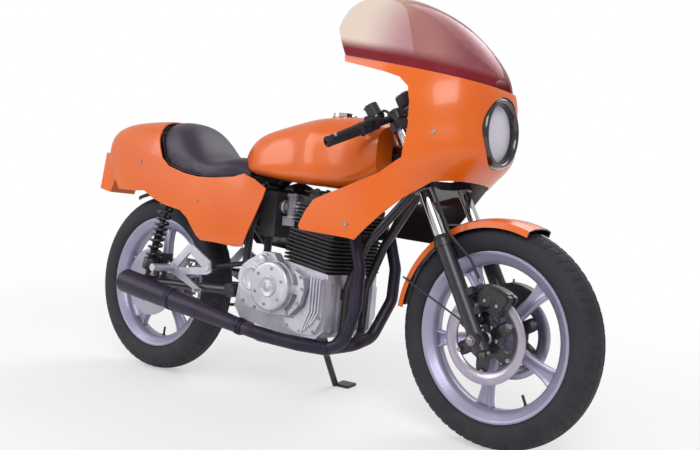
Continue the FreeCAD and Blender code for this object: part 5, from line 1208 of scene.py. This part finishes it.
def makeEngineScrews():
    # cover screws round each casting, head nuts, and caps on the filler, drum, dome and generator
    e = engineShape
    bits, plugs = [], []
    for outline, face in ((clutchOutline, e["coverFace"] - e["coverBase"]),
                          (frontOutline, e["coverFace"] - 14), (driveOutline, -e["coverFace"] + 22)):
        for x, z in inwardOutline(outline, 9):
            bits.append(screw((x, face, z), (0, math.copysign(1, face), 0), 5.6, 4.0))
    for at, face, ring in ((e["clutchAt"], e["drumFace"], e["drumRing"]),
                           (e["generatorAt"], e["generatorFace"], e["generatorRing"])):
        for turn in range(20, 380, 60):
            x, z = ring * math.cos(math.radians(turn)), ring * math.sin(math.radians(turn))
            bits.append(screw((at[0] + x, face, at[1] + z), (0, math.copysign(1, face), 0), 4.8, 3.4))
    for side in (-1, 1):
        for x in (-58, 58):
            for y in (30, 84):
                spot = onEngine([(x, side * y, e["barrel"] + e["head"] + 26.3)])[0]
                bits.append(hexNut(spot, turnAbout("y", e["tilt"]) @ (0, 0, 1.0), 7.5, 6.0))
    caps = [(e["fillerAt"], e["fillerFace"], [(0, 16), (5, 16), (7, 14.5), (14, 14.5), (15, 13)]),
            (e["clutchAt"], e["drumFace"],
             [(0, 34), (3.5, 33), (3.5, 29), (1, 28), (1, 12), (4, 11), (4, 4)]),
            (e["generatorAt"], e["generatorFace"], [(0, 22), (4, 21), (4, 6), (6, 5)]),
            (e["domeAt"], e["fillerFace"], [(0, 40), (3, 39), (3, 33), (0.6, 32), (0.6, 10)])]
    for at, face, profile in caps:
        plugs.append(lathe(profile, 48, (at[0], face, at[1]), (0, math.copysign(1, face), 0)))
    addPiece("engineScrews", joined(bits), onMachine, "chassis", "steel")
    addPiece("engineCaps", joined(plugs), onMachine, "chassis", "castAlloy")


def makeIgnition():
    # two plug caps at the head's sides, with a lead that curves back under the tank
    e = engineShape
    caps, leads = [], []
    for side in (-1, 1):
        low = onEngine([(0, side * e["plugSide"], e["barrel"] + e["head"] + 1)])[0]
        out = np.array([0.0, side * 0.33, 0.94])
        cap = [(0, 5), (2, 8), (10, 8.6), (14, 7), (24, 7), (28, 8), (32, 7.4), (34, 4)]
        caps.append(lathe(cap, 18, low, out))
        top = low + out * 30
        path = smoothPath([top, top + (-14, 0, 5), top + (-52, -side * 18, 0), top + (-96, -side * 48, 4)])
        leads.append(tubeAlong(path, e["leadRadius"], 8))
    addPiece("plugCaps", joined(caps + leads), onMachine, "chassis", "softRubber")


carburettorShape = {"mouth": (-115.7, 52), "bodyBack": 44.0, "side": 60.0, "capTop": 42.0,
                    "screwRing": 21.0, "clips": (14, 80), "rim": 25.0, "rimDrop": 33.0, "nutDrop": 62.0}


def makeCarburettorDetails():
    # screws on the top caps, clips round both ends, bowl rims and nuts under the bowls
    bits = []
    c = carburettorShape
    x, z = onEngine([(c["mouth"][0], 0, engineShape["barrel"] + c["mouth"][1])])[0][[0, 2]]
    body = x - c["bodyBack"]
    for side in (-1, 1):
        y = side * c["side"]
        for turn in (45, 135, 225, 315):
            t = math.radians(turn)
            spot = (body + c["screwRing"] * math.cos(t), y + c["screwRing"] * math.sin(t), z + c["capTop"])
            bits.append(screw(spot, (0, 0, 1), 3.2, 3.0))
        band = [(-4, 21.3), (-4, 23.2), (4, 23.2), (4, 21.3)]
        for back in c["clips"]:
            bits.append(lathe(band, 32, (x - back, y, z), (1, 0, 0), closed=True))
        rim = [(a * (c["rim"] + 1), b * c["rim"]) for a, b in ((-1, -1), (1, -1), (1, 1), (-1, 1))]
        for (a, b), (p, q) in zip(rim, rim[1:] + rim[:1]):
            low = z - c["rimDrop"]
            bits.append(tubeAlong([(body + a, y + b, low), (body + p, y + q, low)], 1.8, 6))
        bits.append(hexNut((body, y, z - c["nutDrop"]), (0, 0, -1), 7, 6))
    addPiece("carburettorBits", joined(bits), onMachine, "chassis", "castAlloy")


makeEngineScrews()
makeIgnition()
makeCarburettorDetails()
print("stage: engine details made")


# fork, axle and brake details

gearShape = {"leg": 100.0, "forkTop": 718.0, "sealAt": 300.2, "axleEnd": 136.3, "stem": (-55, 0, 695),
             "pinchScrews": (18, 30), "adjuster": (-74.0, 120.0, 327.5), "adjusterNut": -62.0,
             "caliperScrews": (44, 74), "caliperFace": (-98.2, 424.0),
             "silencerFrom": (624.0, -206.0, 243.0), "silencerTo": (30.0, -222.0, 337.0)}


def makeForkDetails():
    # fork caps, dust seals with a clip, pinch screws and axle nuts
    steel, seals = [], []
    for side in (-1, 1):
        y = side * gearShape["leg"]
        cap = turned([(0, 16.5), (5, 16.5), (7, 14), (7, 8)], 6)
        steel.append(placed(cap, (0, y, gearShape["forkTop"]), (0, 0, 1)))
        seal = [(0, 17.6), (0, 23), (4, 23.4), (10, 21), (13, 18.4), (13, 17.6)]
        seals.append(lathe(seal, 36, (0, y, gearShape["sealAt"]), (0, 0, 1), closed=True))
        for z in gearShape["pinchScrews"]:
            steel.append(screw((24, y, z), (1, 0, 0), 4.2, 4.0))
        steel.append(hexNut((0, side * gearShape["axleEnd"], 0), (0, side, 0), 11, 7))
    steel.append(hexNut(gearShape["stem"], (0, 0, 1), 14, 8))
    addPiece("forkScrews", joined(steel), onFork, "steering", "steel")
    addPiece("forkSeals", joined(seals), onFork, "steering", "softRubber")


def makeRearDetails():
    # chain adjuster screws and nuts in the arm ends, and the rear caliper's screws
    bits = []
    x, y, z = gearShape["adjuster"]
    for side in (-1, 1):
        bits.append(lathe([(0, 4), (34, 4)], 12, (x, side * y, z), (1, 0, 0)))
        bits.append(hexNut((gearShape["adjusterNut"], side * y, z), (-1, 0, 0), 8, 7))
    face, height = gearShape["caliperFace"]
    for x in gearShape["caliperScrews"]:
        bits.append(screw((x, face, height), (0, -1, 0), 5.5, 3.0))
    addPiece("rearScrews", joined(bits), onMachine, "chassis", "steel")


def makeSilencerDetails():
    # a clamp round the front joint, a band at the middle and a rolled rear rim
    mouth, end = np.array(gearShape["silencerFrom"]), np.array(gearShape["silencerTo"])
    way = (end - mouth) / np.linalg.norm(end - mouth)
    band = [(10, 25.3), (10, 28), (26, 28), (26, 25.3)]
    rim = [(598, 22.2), (598, 33.5), (601, 33.8), (604, 32), (604, 22.2)]
    clamp = lathe(band, 36, mouth, way, closed=True)
    strap = [(330, 36.6), (330, 38.6), (352, 39.2), (352, 37.2)]
    bits = [clamp, lathe(strap, 48, mouth, way, closed=True),
            lathe(rim, 48, mouth, way, closed=True)]
    bits.append(screw(mouth + way * 18 + np.array([0, -28.0, 0]), (0, -1, 0), 5.5, 5.0))
    addPiece("silencerBands", joined(bits), onMachine, "chassis", "exhaustBlack")


makeForkDetails()
makeRearDetails()
makeSilencerDetails()
print("stage: running gear details made")


# studio

studio = {"floorRadius": 9.0, "clearFrom": 1.5, "clearTo": 3.4, "worldLight": 0.55,
          "lamps": [  # place, size, watts
              ((3.2, -3.6, 4.2), 3.0, 150.0), ((-3.4, -3.2, 3.0), 3.2, 95.0), ((0.5, 3.4, 3.6), 3.0, 90.0)],
          "camera": {"place": (2.536, -2.223, 0.584), "yaw": -37.27, "pitch": 6.05, "focal": 860.2}}


def makeFloor():
    # flat disc: rings of radius by angle; it fades to plain white for the camera away from the machine
    turn = angles(96)
    radius = np.linspace(0.02, studio["floorRadius"], 12)
    r, t = np.meshgrid(radius, turn, indexing="ij")
    grid = np.stack([r * np.cos(t), r * np.sin(t), np.full_like(r, -0.0005)], -1)
    mesh = bpy.data.meshes.new("floor")
    faces = gridFaces(12, 96, closeColumns=True)
    mesh.from_pydata(grid.reshape(-1, 3).tolist(), [], faces.tolist() + [list(range(95, -1, -1))])
    floor = linked("floor", mesh)
    material, tree, shader, where = newMaterial("paleFloor")
    grain = noiseNode(tree, where, 30.0)
    grey = mixColor(tree, grain, (0.83, 0.83, 0.84, 1), (0.87, 0.87, 0.87, 1))
    tree.links.new(grey, shader.inputs["Base Color"])
    shader.inputs["Roughness"].default_value = 0.7
    length = tree.nodes.new("ShaderNodeVectorMath")
    length.operation = "LENGTH"
    tree.links.new(where, length.inputs[0])
    far = rangeNode(tree, length.outputs["Value"], studio["clearFrom"], studio["clearTo"], 0.45, 1.0)
    path = tree.nodes.new("ShaderNodeLightPath")
    seen = mathNode(tree, "ADD", path.outputs["Is Camera Ray"], path.outputs["Is Transmission Ray"], True)
    white = tree.nodes.new("ShaderNodeEmission")
    blend = tree.nodes.new("ShaderNodeMixShader")
    tree.links.new(mathNode(tree, "MULTIPLY", far, seen), blend.inputs[0])
    tree.links.new(shader.outputs[0], blend.inputs[1])
    tree.links.new(white.outputs[0], blend.inputs[2])
    tree.links.new(blend.outputs[0], tree.nodes["Material Output"].inputs["Surface"])
    mesh.materials.append(material)


def makeStudio():
    # a world that is white to the camera and gives less light, three soft lamps and the camera
    scene = bpy.context.scene
    scene.view_settings.view_transform = "Standard"
    world = bpy.data.worlds.new("studio")
    world.use_nodes = True
    scene.world = world
    tree = world.node_tree
    path = tree.nodes.new("ShaderNodeLightPath")
    seen = mathNode(tree, "ADD", path.outputs["Is Camera Ray"], path.outputs["Is Transmission Ray"], True)
    level = mathNode(tree, "ADD", studio["worldLight"],
                     mathNode(tree, "MULTIPLY", seen, 1.0 - studio["worldLight"]))
    tree.links.new(level, tree.nodes["Background"].inputs["Strength"])
    tree.nodes["Background"].inputs["Color"].default_value = (1, 1, 1, 1)
    for i, (place, size, watts) in enumerate(studio["lamps"]):
        light = bpy.data.lights.new("softLamp%d" % i, "AREA")
        light.size, light.energy = size, watts
        lamp = linked("softLamp%d" % i, light)
        lamp.location = place
        lamp.rotation_euler = (Vector((0.1, 0, 0.5)) - Vector(place)).to_track_quat("-Z", "Y").to_euler()
    view = studio["camera"]
    yaw, pitch = math.radians(view["yaw"]), math.radians(view["pitch"])
    forward = Vector((math.sin(yaw) * math.cos(pitch), math.cos(yaw) * math.cos(pitch), -math.sin(pitch)))
    data = bpy.data.cameras.new("viewpoint")
    data.sensor_width, data.lens = 36.0, 36.0 * view["focal"] / 700.0
    camera = linked("viewpoint", data)
    camera.location = inMachine(view["place"])
    camera.rotation_euler = forward.to_track_quat("-Z", "Y").to_euler()
    scene.camera = camera


makeFloor()
makeStudio()
print("stage: studio ready")
